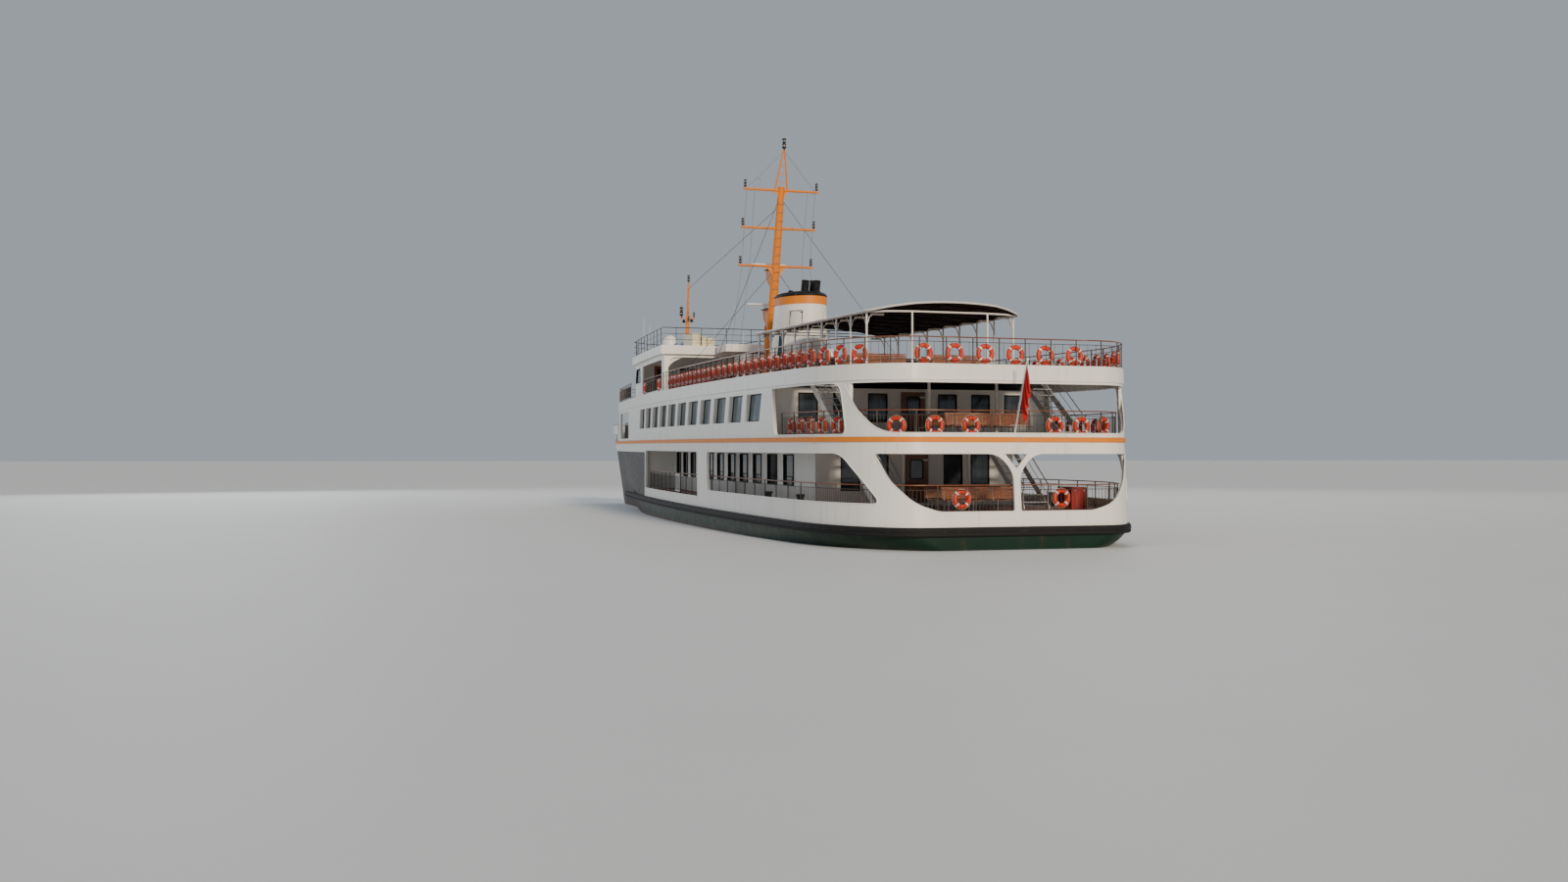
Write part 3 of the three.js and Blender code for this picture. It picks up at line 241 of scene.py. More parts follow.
class Shape:
    """Points and faces in the ship's metres; mark is the number of the finish of the faces that follow."""

    def __init__(self):
        self.points, self.faces, self.marks, self.mark = [], [], [], 0

    def add(self, points, faces):
        start = len(self.points)
        self.points += [tuple(p) for p in points]
        self.faces += [[start + i for i in face] for face in faces]
        self.marks += [self.mark] * len(faces)

    def loft(self, rings, closed=False, around=True, caps=True):
        """Rings of points joined in turn. Closed joins the last ring to the first."""
        size, count = len(rings[0]), len(rings)
        faces = []
        for i in range(count if closed else count - 1):
            here, there = i * size, ((i + 1) % count) * size
            for j in range(size if around else size - 1):
                k = (j + 1) % size
                faces.append([here + j, here + k, there + k, there + j])
        if caps and around and not closed:
            faces += [list(range(size))[::-1], [(count - 1) * size + j for j in range(size)]]
        self.add([p for ring in rings for p in ring], faces)

    def box(self, xs, ys, zs):
        ring = [(xs[0], ys[0]), (xs[1], ys[0]), (xs[1], ys[1]), (xs[0], ys[1])]
        self.loft([[(x, y, z) for x, y in ring] for z in zs])

    def bar(self, start, end, radius, end_radius=None, sides=8, caps=True):
        start, end = Vector(start), Vector(end)
        radii = [radius, radius if end_radius is None else end_radius]
        self.tube([start, end], radii, sides, caps=caps)

    def tube(self, points, radius, sides=8, closed=False, caps=True, squash=1.0):
        """A round tube along points; radius is one value or one for each point."""
        points = [Vector(p) for p in points]
        size = len(points)
        radii = radius if isinstance(radius, (list, tuple)) else [radius] * size
        ways = []
        for i in range(size):
            before = points[i - 1] if closed or i else points[i]
            after = points[(i + 1) % size] if closed or i < size - 1 else points[i]
            ways.append((after - before).normalized())
        upright = abs(ways[0].z) > 0.99
        side = (ways[0].orthogonal() if upright else ways[0].cross((0, 0, 1))).normalized()
        turns = full_turn(sides)
        rings = []
        for point, way, r in zip(points, ways, radii):
            side = (side - way * side.dot(way)).normalized()
            up = side.cross(way)
            rings.append([point + side * cos(t) * r + up * sin(t) * r * squash for t in turns])
        self.loft(rings, closed, caps=caps)

    def sweep(self, path, profile, closed=False):
        """A profile of (left, up) points along a path of (x, y, z); left is level."""
        plan = [(p[0], p[1]) for p in path]
        rings = [[] for _ in path]
        for left, up in profile:
            for ring, (x, y), p in zip(rings, offset(plan, left, closed), path):
                ring.append((x, y, p[2] + up))
        self.loft(rings, closed)

    def lathe(self, centre, profile, steps=24, axis="z"):
        """A profile of (radius, height) turned about an axis through the centre."""
        order = (1, 2, 0) if axis == "x" else (0, 1, 2)
        rings = []
        for turn in full_turn(steps):
            ring = []
            for r, h in profile:
                local = (r * cos(turn), r * sin(turn), h)
                point = [0, 0, 0]
                for k in range(3):
                    point[order[k]] = centre[order[k]] + local[k]
                ring.append(tuple(point))
            rings.append(ring)
        self.loft(rings, closed=True, around=False, caps=False)

    def prism(self, outline, lay, near, far):
        """An outline laid on a surface and pushed from one depth to another."""
        self.loft([[lay(a, b, d) for a, b in outline] for d in (near, far)])

    def ring(self, outline, width, lay, near, far):
        """A frame along an outline, its width outward, or inward where it is negative."""
        area = sum(p[0] * q[1] - q[0] * p[1] for p, q in zip(outline, outline[1:] + outline[:1]))
        grown = offset(outline, -width if area > 0 else width, True)
        rings = [[lay(*p, near), lay(*q, near), lay(*q, far), lay(*p, far)] for p, q in zip(outline, grown)]
        self.loft(rings, closed=True)

    def pane(self, outline, lay, depth):
        self.prism(outline, lay, depth, depth + PANE)

    def rim(self, outline, lay):
        """A round bead along the edge of an opening."""
        self.tube([lay(a, b, 0.0) for a, b in outline], RIM, 6, closed=True)

    def stamp(self, other, move):
        """Another shape's faces, each point moved by a function."""
        start = len(self.points)
        self.points += [tuple(move(Vector(p))) for p in other.points]
        self.faces += [[start + i for i in face] for face in other.faces]
        self.marks += other.marks


# Pieces
FINISHES = {}


def mesh_of(name, shape, finishes, smooth=32):
    mesh = bpy.data.meshes.new(name)
    mesh.from_pydata([place(p) for p in shape.points], [], shape.faces)
    tidy = bmesh.new()
    tidy.from_mesh(mesh)
    bmesh.ops.recalc_face_normals(tidy, faces=tidy.faces)
    tidy.to_mesh(mesh)
    tidy.free()
    mesh.polygons.foreach_set("material_index", shape.marks)
    soften(mesh, finishes, smooth)
    return mesh


def soften(mesh, finishes, smooth):
    for finish in finishes:
        mesh.materials.append(FINISHES[finish])
    mesh.polygons.foreach_set("use_smooth", [True] * len(mesh.polygons))
    mesh.set_sharp_from_angle(angle=radians(smooth))
    mesh.update()


def piece(name, shape, finishes, body="ship", replaces=(), smooth=32, cutters=None, bevel=0.0):
    """One object from a shape, less its cutters, riding on a body."""
    mesh = carved(name, shape, cutters) if cutters else mesh_of(name, shape, finishes, smooth)
    if cutters:
        soften(mesh, finishes, smooth)
    made = bpy.data.objects.new(name, mesh)
    bpy.context.scene.collection.objects.link(made)
    if bevel:
        edge = made.modifiers.new("edges", "BEVEL")
        edge.width, edge.segments, edge.limit_method = bevel * HALF_SIZE, 2, "ANGLE"
        edge.angle_limit = radians(50)
        edge.harden_normals = True
    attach(made, body)
    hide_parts(*replaces)
    return made


def carved(name, shape, cutters):
    """The mesh of a shape with other shapes cut out of it, one after another."""
    parts = []
    for i, source in enumerate([shape, *cutters]):
        label = f"{name}_{i}"
        parts.append(bpy.data.objects.new(label, mesh_of(label, source, [])))
        bpy.context.scene.collection.objects.link(parts[-1])
    for tool in parts[1:]:
        cut = parts[0].modifiers.new("cut", "BOOLEAN")
        cut.object, cut.solver, cut.operation = tool, "EXACT", "DIFFERENCE"
    bpy.context.view_layer.update()
    graph = bpy.context.evaluated_depsgraph_get()
    mesh = bpy.data.meshes.new_from_object(parts[0].evaluated_get(graph))
    mesh.name = name
    for part in parts:
        bpy.data.objects.remove(part)
    mesh.materials.clear()
    return mesh


def wall(shape, lower, upper, low, high, thickness, closed=False):
    """A plate that follows a plan path, its inner face to the left."""
    inner_low, inner_high = offset(lower, thickness, closed), offset(upper, thickness, closed)
    edges = zip(lower, upper, inner_high, inner_low)
    shape.loft([[(*a, low), (*b, high), (*c, high), (*d, low)] for a, b, c, d in edges], closed)


# Finishes
class Nodes:
    """A short way to wire one material's nodes."""

    def __init__(self, name):
        self.material = bpy.data.materials.new(name)
        self.material.use_nodes = True
        self.tree = self.material.node_tree
        self.shader = self.tree.nodes["Principled BSDF"]
        self.spot = self.node("ShaderNodeTexCoord").outputs["Object"]
        FINISHES[name] = self.material

    def node(self, kind, settings=None, **inputs):
        made = self.tree.nodes.new(kind)
        for key, value in (settings or {}).items():
            setattr(made, key, value)
        for key, value in inputs.items():
            self.feed(made.inputs[key.replace("_", " ")], value)
        return made

    def feed(self, socket, value):
        if isinstance(value, bpy.types.NodeSocket):
            self.tree.links.new(value, socket)
        else:
            socket.default_value = value

    def noise(self, scale=5.0, detail=4.0, stretch=(1, 1, 1), rough=0.55):
        stretched = self.node("ShaderNodeMapping", Vector=self.spot, Scale=stretch).outputs["Vector"]
        made = self.node("ShaderNodeTexNoise", Vector=stretched, Scale=scale, Detail=detail, Roughness=rough)
        return made.outputs["Fac"]

    def ramp(self, value, low, high):
        """0 at low and 1 at high, smooth between them."""
        made = self.node("ShaderNodeMapRange", {"interpolation_type": "SMOOTHSTEP"}, Value=value)
        made.inputs["From Min"].default_value, made.inputs["From Max"].default_value = low, high
        return made.outputs["Result"]

    def maths(self, kind, a, b=0.0):
        made = self.node("ShaderNodeMath", {"operation": kind})
        self.feed(made.inputs[0], a)
        self.feed(made.inputs[1], b)
        return made.outputs[0]

    def line(self, value, factor, base):
        """The value times a factor, plus a base."""
        return self.maths("ADD", self.maths("MULTIPLY", value, factor), base)

    def mix(self, part, a, b, most=None):
        """Colour a where the part is 0 and b where it is 1, or only most of b."""
        if most is not None:
            part = self.maths("MULTIPLY", part, most)
        made = self.node("ShaderNodeMix", {"data_type": "RGBA"})
        for socket, value in ((made.inputs[0], part), (made.inputs[6], a), (made.inputs[7], b)):
            self.feed(socket, value if isinstance(value, (float, bpy.types.NodeSocket)) else (*value, 1.0))
        return made.outputs[2]

    def axis(self, name, source=None):
        made = self.node("ShaderNodeSeparateXYZ", Vector=source or self.spot)
        return made.outputs[name]

    def bump(self, height, strength=0.2, distance=0.01):
        made = self.node("ShaderNodeBump", Height=height, Strength=strength, Distance=distance)
        self.feed(self.shader.inputs["Normal"], made.outputs["Normal"])

    def set(self, **inputs):
        for key, value in inputs.items():
            socket = self.shader.inputs[key.replace("_", " ")]
            self.feed(socket, (*value, 1.0) if isinstance(value, tuple) and len(value) == 3 else value)


def shade(colour, amount):
    return tuple(min(1.0, c * amount) for c in colour)


RUST = (0.24, 0.1, 0.04)
SOOT = (0.16, 0.15, 0.13)


def paint(name, colour, rough=0.42, dirt=0.35, rust=0.25):
    """Brushed ship's paint: uneven tone, rain streaks, rust at a few places and slightly wavy plates."""
    n = Nodes(name)
    tone = n.mix(n.noise(1.3, 3.0), shade(colour, 0.93), shade(colour, 1.05))
    streaks = n.ramp(n.noise(7.0, 5.0, (1, 1, 0.09)), 0.52, 0.8)
    soiled = n.mix(streaks, tone, shade(SOOT, 2.4), dirt)
    spots = n.ramp(n.noise(3.1, 8.0, (1, 1, 0.25), 0.7), 0.66, 0.78)
    n.set(Base_Color=n.mix(spots, soiled, RUST, rust))
    n.set(Roughness=n.line(n.noise(9.0, 3.0), 0.25, rough - 0.12))
    n.bump(n.maths("ADD", n.noise(1.1, 2.0), n.maths("MULTIPLY", n.noise(60.0, 3.0), 0.04)), 0.18, 0.02)
    if max(colour) < 0.1:
        n.set(Specular_IOR_Level=0.2)


def wood(name, colour, long=(0.6, 6, 6)):
    """Varnished hardwood with its grain along x."""
    n = Nodes(name)
    grain = n.noise(9.0, 8.0, long, 0.7)
    tone = n.mix(n.ramp(grain, 0.35, 0.7), shade(colour, 0.55), shade(colour, 1.3))
    bleach = n.ramp(n.noise(1.7, 4.0), 0.5, 0.75)
    n.set(Base_Color=n.mix(bleach, tone, (0.5, 0.36, 0.24), 0.35))
    n.set(Roughness=n.line(grain, 0.3, 0.25), Coat_Weight=0.25)
    n.bump(grain, 0.25, 0.004)


def split_floor(name, top, under):
    """Deck paint worn by feet on what faces up, and white paint below it."""
    n = Nodes(name)
    up = n.axis("Z", n.node("ShaderNodeNewGeometry").outputs["Normal"])
    worn = n.ramp(n.noise(1.0, 7.0), 0.45, 0.7)
    tone = n.mix(worn, top, shade(top, 1.8), 0.5)
    soiled = n.mix(n.ramp(n.noise(2.0, 5.0), 0.4, 0.8), under, shade(under, 0.82))
    n.set(Base_Color=n.mix(n.ramp(up, 0.35, 0.4), soiled, tone), Roughness=0.65)
    n.bump(n.noise(90.0, 3.0), 0.25, 0.004)


def hull_paint(name):
    """Dark green topsides, black at the bow, a rusty line at the water and red-brown below it."""
    n = Nodes(name)
    height = n.maths("SUBTRACT", n.axis("Z"), n.maths("MULTIPLY", n.axis("X"), SHEER["slope"]))
    level = n.maths("ADD", height, n.line(n.noise(2.2, 6.0, (0.5, 0.5, 2)), 0.09, -0.045))
    green = n.mix(n.noise(1.6, 5.0), (0.002, 0.016, 0.009), (0.005, 0.028, 0.015))
    black = n.mix(n.noise(3.0, 5.0), (0.006, 0.006, 0.0065), (0.016, 0.015, 0.014))
    low = n.mix(n.noise(5.0, 6.0), (0.05, 0.022, 0.012), (0.1, 0.045, 0.025))
    sides = n.mix(n.ramp(n.axis("X"), 3.5, 4.2), green, black)
    rusty = n.ramp(n.noise(3.0, 8.0, (1, 1, 0.2), 0.7), 0.55, 0.75)
    sides = n.mix(rusty, sides, (0.13, 0.06, 0.03), 0.4)
    wet = n.mix(n.ramp(level, 0.05, 0.11), low, sides)
    n.set(Base_Color=n.mix(n.ramp(height, 1.86, 1.87), wet, (0.8, 0.79, 0.75)))
    n.set(Roughness=n.line(n.noise(6.0, 4.0), 0.35, 0.3), Specular_IOR_Level=0.25)
    n.bump(n.noise(1.4, 3.0), 0.15, 0.02)


def metal(name, colour, rough=0.35, metallic=1.0):
    n = Nodes(name)
    spots = n.noise(14.0, 6.0)
    n.set(Base_Color=n.mix(n.ramp(spots, 0.4, 0.75), colour, shade(colour, 0.55)), Metallic=metallic)
    n.set(Roughness=n.line(spots, 0.35, rough - 0.1))
    n.bump(spots, 0.1, 0.002)


def cloth(name, colour, weave=260.0, fuzz=0.3):
    n = Nodes(name)
    wave = [n.node("ShaderNodeTexWave", {"bands_direction": way}, Vector=n.spot, Scale=weave).outputs["Fac"]
            for way in "XY"]
    threads = n.maths("MULTIPLY", *wave)
    tone = n.mix(n.noise(1.5, 5.0), shade(colour, 0.85), shade(colour, 1.08))
    n.set(Base_Color=n.mix(threads, tone, shade(colour, 0.6), 0.2), Roughness=0.85, Sheen_Weight=fuzz)
    n.bump(threads, 0.15, 0.002)


def glass(name, colour):
    """Glass seen as a dark mirror, with a film of salt. The colour given is the glass's tint; the upper
    windows' blue-grey is a painted reflection of the sky.
    """
    n = Nodes(name)
    film = n.ramp(n.noise(4.0, 5.0, (1, 1, 0.3)), 0.45, 0.8)
    n.set(Base_Color=n.mix(film, colour, (0.3, 0.32, 0.33), 0.25))
    n.set(Roughness=n.line(film, 0.18, 0.04), Metallic=0.35, Specular_IOR_Level=0.8)


def plastic(name, colour, rough=0.38):
    n = Nodes(name)
    faded = n.noise(7.0, 5.0)
    n.set(Base_Color=n.mix(faded, shade(colour, 0.8), shade(colour, 1.12)))
    n.set(Roughness=n.line(faded, 0.3, rough - 0.1))
    n.bump(n.noise(40.0, 3.0), 0.12, 0.003)
    if max(colour) < 0.03:
        n.set(Specular_IOR_Level=0.15)


WHITE = (0.8, 0.785, 0.735)
paint("white", WHITE, 0.4, 0.34, 0.3)
paint("white_clean", WHITE, 0.4, 0.15, 0.06)
paint("black", (0.01, 0.01, 0.0105), 0.5, 0.12, 0.1)
paint("orange", (0.72, 0.2, 0.0), 0.55, 0.2, 0.12)
paint("mast_orange", (0.7, 0.195, 0.0), 0.55, 0.15, 0.2)
paint("grey", (0.42, 0.44, 0.45), 0.5, 0.35, 0.3)
paint("teal", (0.012, 0.05, 0.055), 0.45, 0.2, 0.1)
paint("cream", (0.72, 0.64, 0.42), 0.5, 0.3, 0.15)
paint("red", (0.3, 0.012, 0.008), 0.4, 0.25, 0.1)
hull_paint("hull_paint")
split_floor("deck_and_ceiling", (0.17, 0.065, 0.045), (0.6, 0.59, 0.55))
wood("varnish", (0.2, 0.062, 0.022))
wood("bench_wood", (0.26, 0.085, 0.035), (6, 0.6, 6))
metal("galvanised", (0.5, 0.5, 0.49), 0.4)
paint("rail_paint", (0.075, 0.06, 0.05), 0.5, 0.2, 0.3)
metal("bronze", (0.6, 0.4, 0.18), 0.3)
metal("wire", (0.12, 0.12, 0.12), 0.5, 0.8)
cloth("awning_cloth", (0.68, 0.67, 0.63))
# The awning's underside is near-black: painted shade under the cloth, which is pale on top.
cloth("awning_underside_painted_shade", (0.012, 0.013, 0.015), 260.0, 0.0)
cloth("flag_red", (0.46, 0.004, 0.006), 300.0, 0.05)
cloth("cover_blue", (0.05, 0.15, 0.42))
glass("glass", (0.025, 0.035, 0.042))
# Blue-grey glass for the upper windows: a painted reflection of the sky.
glass("glass_painted_sky_reflection", (0.09, 0.125, 0.155))
plastic("buoy_orange", (0.6, 0.03, 0.003), 0.5)
plastic("buoy_white", (0.82, 0.82, 0.8), 0.5)
plastic("rubber", (0.015, 0.015, 0.016), 0.65)
plastic("rope", (0.6, 0.55, 0.42), 0.85)
paint("soot", (0.012, 0.012, 0.012), 0.6, 0.2, 0.05)
plastic("lamp_clear", (0.75, 0.72, 0.6), 0.15)
plastic("lens", (0.12, 0.115, 0.1), 0.2)


# Camera, floor and lights
CAMERA = {"x": -54.73, "y": 28.2, "height": 3.5, "turn": 19.0, "tilt": 0.5556, "focal_px": 1650}
IMAGE_PX = 1600
SENSOR_MM = 36
FAR_CLIP = 1000
FLOOR_HALF = 600
LIT_SPOT = Vector((-4, 0, 3))


def make_camera():
    data = bpy.data.cameras.new("camera")
    data.sensor_width = SENSOR_MM
    data.lens = SENSOR_MM * CAMERA["focal_px"] / IMAGE_PX
    camera = bpy.data.objects.new("camera", data)
    bpy.context.scene.collection.objects.link(camera)
    camera.location = Vector((CAMERA["x"] - MIDSHIP, CAMERA["y"], CAMERA["height"])) * HALF_SIZE
    turn, tilt = radians(CAMERA["turn"]), radians(CAMERA["tilt"])
    look = Vector((cos(turn) * cos(tilt), -sin(turn) * cos(tilt), sin(tilt)))
    camera.rotation_euler = look.to_track_quat("-Z", "Y").to_euler()
    data.clip_end = FAR_CLIP
    bpy.context.scene.camera = camera


def make_stage():
    n = Nodes("studio_floor")
    n.set(Base_Color=n.mix(n.noise(0.4, 3.0), (0.7, 0.71, 0.72), (0.74, 0.75, 0.76)), Roughness=0.6)
    data = bpy.data.meshes.new("floor")
    corners = [(x * FLOOR_HALF, y * FLOOR_HALF, 0) for x, y in ((-1, -1), (1, -1), (1, 1), (-1, 1))]
    data.from_pydata(corners, [], [[0, 1, 2, 3]])
    data.materials.append(n.material)
    floor = bpy.data.objects.new("floor", data)
    bpy.context.scene.collection.objects.link(floor)
    world = bpy.data.worlds.new("studio")
    bpy.context.scene.world = world
    world.use_nodes = True
    sky = world.node_tree.nodes["Background"].inputs
    sky["Color"].default_value = (0.7, 0.77, 0.85, 1)
    sky["Strength"].default_value = 0.5


LIGHTS = [
    # name, kind, place, size, strength, colour
    ("key", "SUN", (-40, 1, 16), 0.14, 3.0, (1.0, 0.84, 0.64)),
    ("fill", "AREA", (-16, 36, 18), 28, 1500, (0.84, 0.91, 1.0)),
    ("back", "AREA", (26, -30, 26), 22, 2600, (1.0, 0.96, 0.9)),
    ("bow", "AREA", (38, 16, 14), 18, 2600, (0.92, 0.96, 1.0)),
]


def make_lights():
    for name, kind, spot, size, strength, colour in LIGHTS:
        data = bpy.data.lights.new(name, kind)
        data.energy, data.color = strength, colour
        if kind == "SUN":
            data.angle = size
        else:
            data.size = size
        light = bpy.data.objects.new(name, data)
        bpy.context.scene.collection.objects.link(light)
        light.location = spot
        light.rotation_euler = (LIT_SPOT - Vector(spot)).to_track_quat("-Z", "Y").to_euler()


make_camera()
make_stage()
make_lights()

# Hull
STEM = {"foot": 60.5, "water": 64, "slope": 1.8}
RUN = {"from": 15, "transom": -0.45, "power": 0.7}
SKEG = [[2.2, -0.9], [3.4, -2.3, 0.3], [12, KEEL - 0.05], [14.5, KEEL - 0.05], [14.5, -2], [8, 0]]
SHAFT = {"y": 2.6, "height": -1.95, "screw": 4.2}
RUDDER = {"x": 2.9, "top": -0.78, "low": -2.75, "high": -1.05}
TRUNK = [(0, 0), (0.19, 0), (0.2, 0.05), (0.24, 0.78), (0, 0.78)]
BOW_STATIONS = [60.6, 61.6, 62.6, 63.4, 64.0, 64.3]
BOW_END = 66.1
SKEG_HALF = 0.14
STRAKE_OUT = 0.14
HUB = [(0, -0.68), (0.04, -0.66), (0.09, -0.56), (0.16, -0.3), (0.2, -0.12), (0.2, 0.12), (0, 0.12)]
RUDDER_HALF = [(0.45, 0), (0.4, 0.06), (0.25, 0.12), (0.05, 0.155), (-0.3, 0.12), (-0.7, 0.05),
               (-0.95, 0.008)]
HULL_LEVELS = [0.03, 0.07, 0.12, 0.18, 0.26, 0.36, 0.47, 0.58, 0.7, 0.8, 0.88, 0.95, 1]


def keel_at(x):
    if x < RUN["from"]:
        return KEEL + (RUN["transom"] - KEEL) * (1 - x / RUN["from"]) ** RUN["power"]
    if x < STEM["foot"]:
        return KEEL
    if x < STEM["water"]:
        return KEEL * (1 - ((x - STEM["foot"]) / (STEM["water"] - STEM["foot"])) ** 1.5)
    return (x - STEM["water"]) * STEM["slope"]


def ease(start, end, value):
    t = min(1.0, max(0.0, (value - start) / (end - start)))
    return t * t * (3 - 2 * t)


def hull_half(x, z):
    foot = keel_at(x)
    top = STRAKE + (UPPER_LOW - STRAKE) * ease(38, 58, x)
    rise = min(1.0, max(0.0, (z - foot) / (top - foot)))
    power = 2.2 + ease(0, 15, x) - 2.1 * ease(30, 62, x)
    return max(EDGE, half_at(x) * (1 - (1 - rise) ** power) ** (1 / power))


def hull_block(shape, stations, low, high):
    """Sections joined into a solid; low is None where they reach down to the keel."""
    rings = []
    for x in stations:
        foot = min(max(keel_at(x) if low is None else low, keel_at(x)), high - 0.02)
        heights = [foot + (high - foot) * t for t in HULL_LEVELS]
        side = [(x, hull_half(x, z), z) for z in heights]
        start = (x, 0, foot) if low is None else (x, hull_half(x, foot), foot)
        port = [start, *side]
        rest = [(a, -y, z) for a, y, z in reversed(port)]
        rings.append(port + (rest[:-1] if low is None else rest))
    shape.loft(rings)


def make_hull():
    quarter = [x for x, _ in port_path(STRAKE, 0, QUARTER)]
    stations = quarter + [QUARTER + 1.4 * i for i in range(1, 39)] + BOW_STATIONS
    hull = Shape()
    hull_block(hull, stations, None, STRAKE)
    hull.prism(rounded(SKEG), lengthwise, -SKEG_HALF, SKEG_HALF)
    for y in (SHAFT["y"], -SHAFT["y"]):
        hull.lathe((RUDDER["x"], y, RUDDER["top"]), TRUNK)
    piece("hull_plating", hull, ["hull_paint"], replaces=["hull"], smooth=40)

    bow = Shape()
    hull_block(bow, even(FORECASTLE, BOW_END, 34), STRAKE + SEAM, UPPER_LOW - SEAM)
    piece("forecastle_plating", bow, ["hull_paint"], replaces=["forecastle"], smooth=40)

    strake = Shape()
    loop = offset(stern_loop(STRAKE, 52), -STRAKE_OUT)
    tall = STRAKE - STRAKE_LOW
    band = [(0.139, -tall), (0.03, 0.01 - tall), (0.0, 0.05 - tall), (0, -0.06), (0.03, -0.01), (0.139, 0)]
    lip = [(0.0, -0.19), (-0.02, -0.18), (-0.02, -0.15), (0.0, -0.14)]
    for mark, profile in enumerate((band, lip)):
        strake.mark = mark
        strake.sweep([(x, y, STRAKE) for x, y in loop], profile)
    piece("rubbing_band", strake, ["rubber", "black"], replaces=["rubbing_strake"])


BLADE = [
    # distance from the axis, width
    (0.1, 0.26), (0.2, 0.4), (0.35, 0.5), (0.5, 0.56), (0.65, 0.52), (0.77, 0.38), (0.84, 0.18), (0.86, 0.05),
]


def blade(shape, angle):
    """One propeller blade, its sections set at a falling pitch."""
    rings = []
    for radius, width in BLADE:
        pitch = 1.05 - 0.55 * radius / 0.85
        thick = 0.055 - 0.045 * radius / 0.86
        section = []
        for turn in full_turn(12):
            w, t = cos(turn) * width / 2, sin(turn) * thick / 2 * (1 - 0.4 * cos(turn))
            a, b = sin(pitch) * w - cos(pitch) * t, cos(pitch) * w + sin(pitch) * t
            section.append((a, b * cos(angle) - radius * sin(angle),
                            b * sin(angle) + radius * cos(angle)))
        rings.append(section)
    shape.loft(rings)


def make_running_gear():
    outline = RUDDER_HALF + [(a, -b) for a, b in reversed(RUDDER_HALF[1:])]
    low, high = RUDDER["low"], RUDDER["high"]
    for side, name in SIDES:
        screw, placed = Shape(), Shape()
        screw.lathe((0, 0, 0), HUB, 24, "x")
        for k in range(4):
            blade(screw, side * k * pi / 2)
        x, y, z = SHAFT["screw"], side * SHAFT["y"], SHAFT["height"]
        placed.stamp(screw, lambda p: (p.x + x, side * p.y + y, p.z + z))
        body = "propeller_" + name
        piece("screw_" + name, placed, ["bronze"], body, [body], 40)

        rudder = Shape()
        x = RUDDER["x"]
        rudder.loft([[(x + a * s, y + b * s, level) for a, b in outline]
                     for level, s in ((low, 0.86), (low + 0.08, 0.98), (high - 0.05, 1), (high, 0.96))])
        rudder.bar((x, y, high - 0.1), (x, y, RUDDER["top"] - 0.002), 0.1, sides=20)
        body = "rudder_" + name
        piece("rudder_blade_" + name, rudder, ["hull_paint"], body, [body], 40)


# Side shells with their openings, as outlines [a, b, radius] on the side or the stern
SIDE_AFT = [[0.95, 1.75, 0.4], [2.7, 1.75], [21, 1.75, 0.5], [21, MAIN_HEAD, 0.3], [2.9, MAIN_HEAD, 0.5],
            [1.7, 2.6, 0.4]]
BOARDING = [[23.2, 1.4], [40.6, 1.4], [40.6, MAIN_HEAD, 0.5], [23.2, MAIN_HEAD, 0.3]]
STERN_MAIN = [[3.2, MAIN_SILL, 0.2], [0.12, MAIN_SILL, 0.12], [0.12, 2.95, 0.4], [0.75, MAIN_HEAD, 0.45],
              [5.35, MAIN_HEAD, 0.1], [4.95, 2.6, 0.3], [4.2, 1.75, 0.5]]
TRIANGLE = [[-0.5, MAIN_HEAD, 0.05], [0.5, MAIN_HEAD, 0.05], [0, 3.05, 0.1]]
STERN_SILL = 4.42
WAY_HEAD = UPPER_HEAD - 0.08
QUARTER_WAY = [[2.6, 4.36, 0.3], [9.3, 4.36, 0.3], [9.65, WAY_HEAD, 0.1], [2.95, WAY_HEAD, 0.5]]
FORE_WAY = [[50.9, 4.4, 0.3], [58.3, 4.4, 0.3], [58.3, 6.2, 0.3], [50.9, 6.2, 0.3]]
STERN_UPPER = [[-5.2, STERN_SILL, 0.5], [5.2, STERN_SILL, 0.5], [5.75, 5.3, 0.3], [6.0, WAY_HEAD, 0.1],
               [-6.0, WAY_HEAD, 0.1], [-5.75, 5.3, 0.3]]
WINDOWS = {"count": 11, "from": 12.7, "to": 42.6, "wide": 2.35, "sill": 4.98, "head": 6.18, "lean": 0.4}
OUTSIDE = 8
SIDE_CUT = {"main": 4.85, "boarding": 2, "quarter": 5.9}
STERN_CUT = {"main": 1.35, "upper": 2.45}


def upper_windows():
    half, lean, sill, head = WINDOWS["wide"] / 2, WINDOWS["lean"], WINDOWS["sill"], WINDOWS["head"]
    for x in even(WINDOWS["from"], WINDOWS["to"], WINDOWS["count"] - 1):
        corners = [(x - half, sill), (x + half, sill), (x + half - lean, head), (x - half - lean, head)]
        yield rounded([[a, b, 0.06] for a, b in corners], 3)


def across(outline, near, far):
    """A straight cutter through each side, from one distance off the middle to another."""
    tool = Shape()
    tool.prism(outline, lengthwise, near, far)
    tool.prism(outline, lengthwise, -near, -far)
    return tool


def through(corners, steps=6):
    """A straight cutter through the whole ship."""
    tool = Shape()
    tool.prism(rounded(corners, steps), lengthwise, -OUTSIDE, OUTSIDE)
    return tool


def lengthways(corners, far):
    """A straight cutter through the stern, from behind it to one station."""
    tool = Shape()
    tool.prism(rounded(corners), facing_aft(0), -1, far)
    return tool


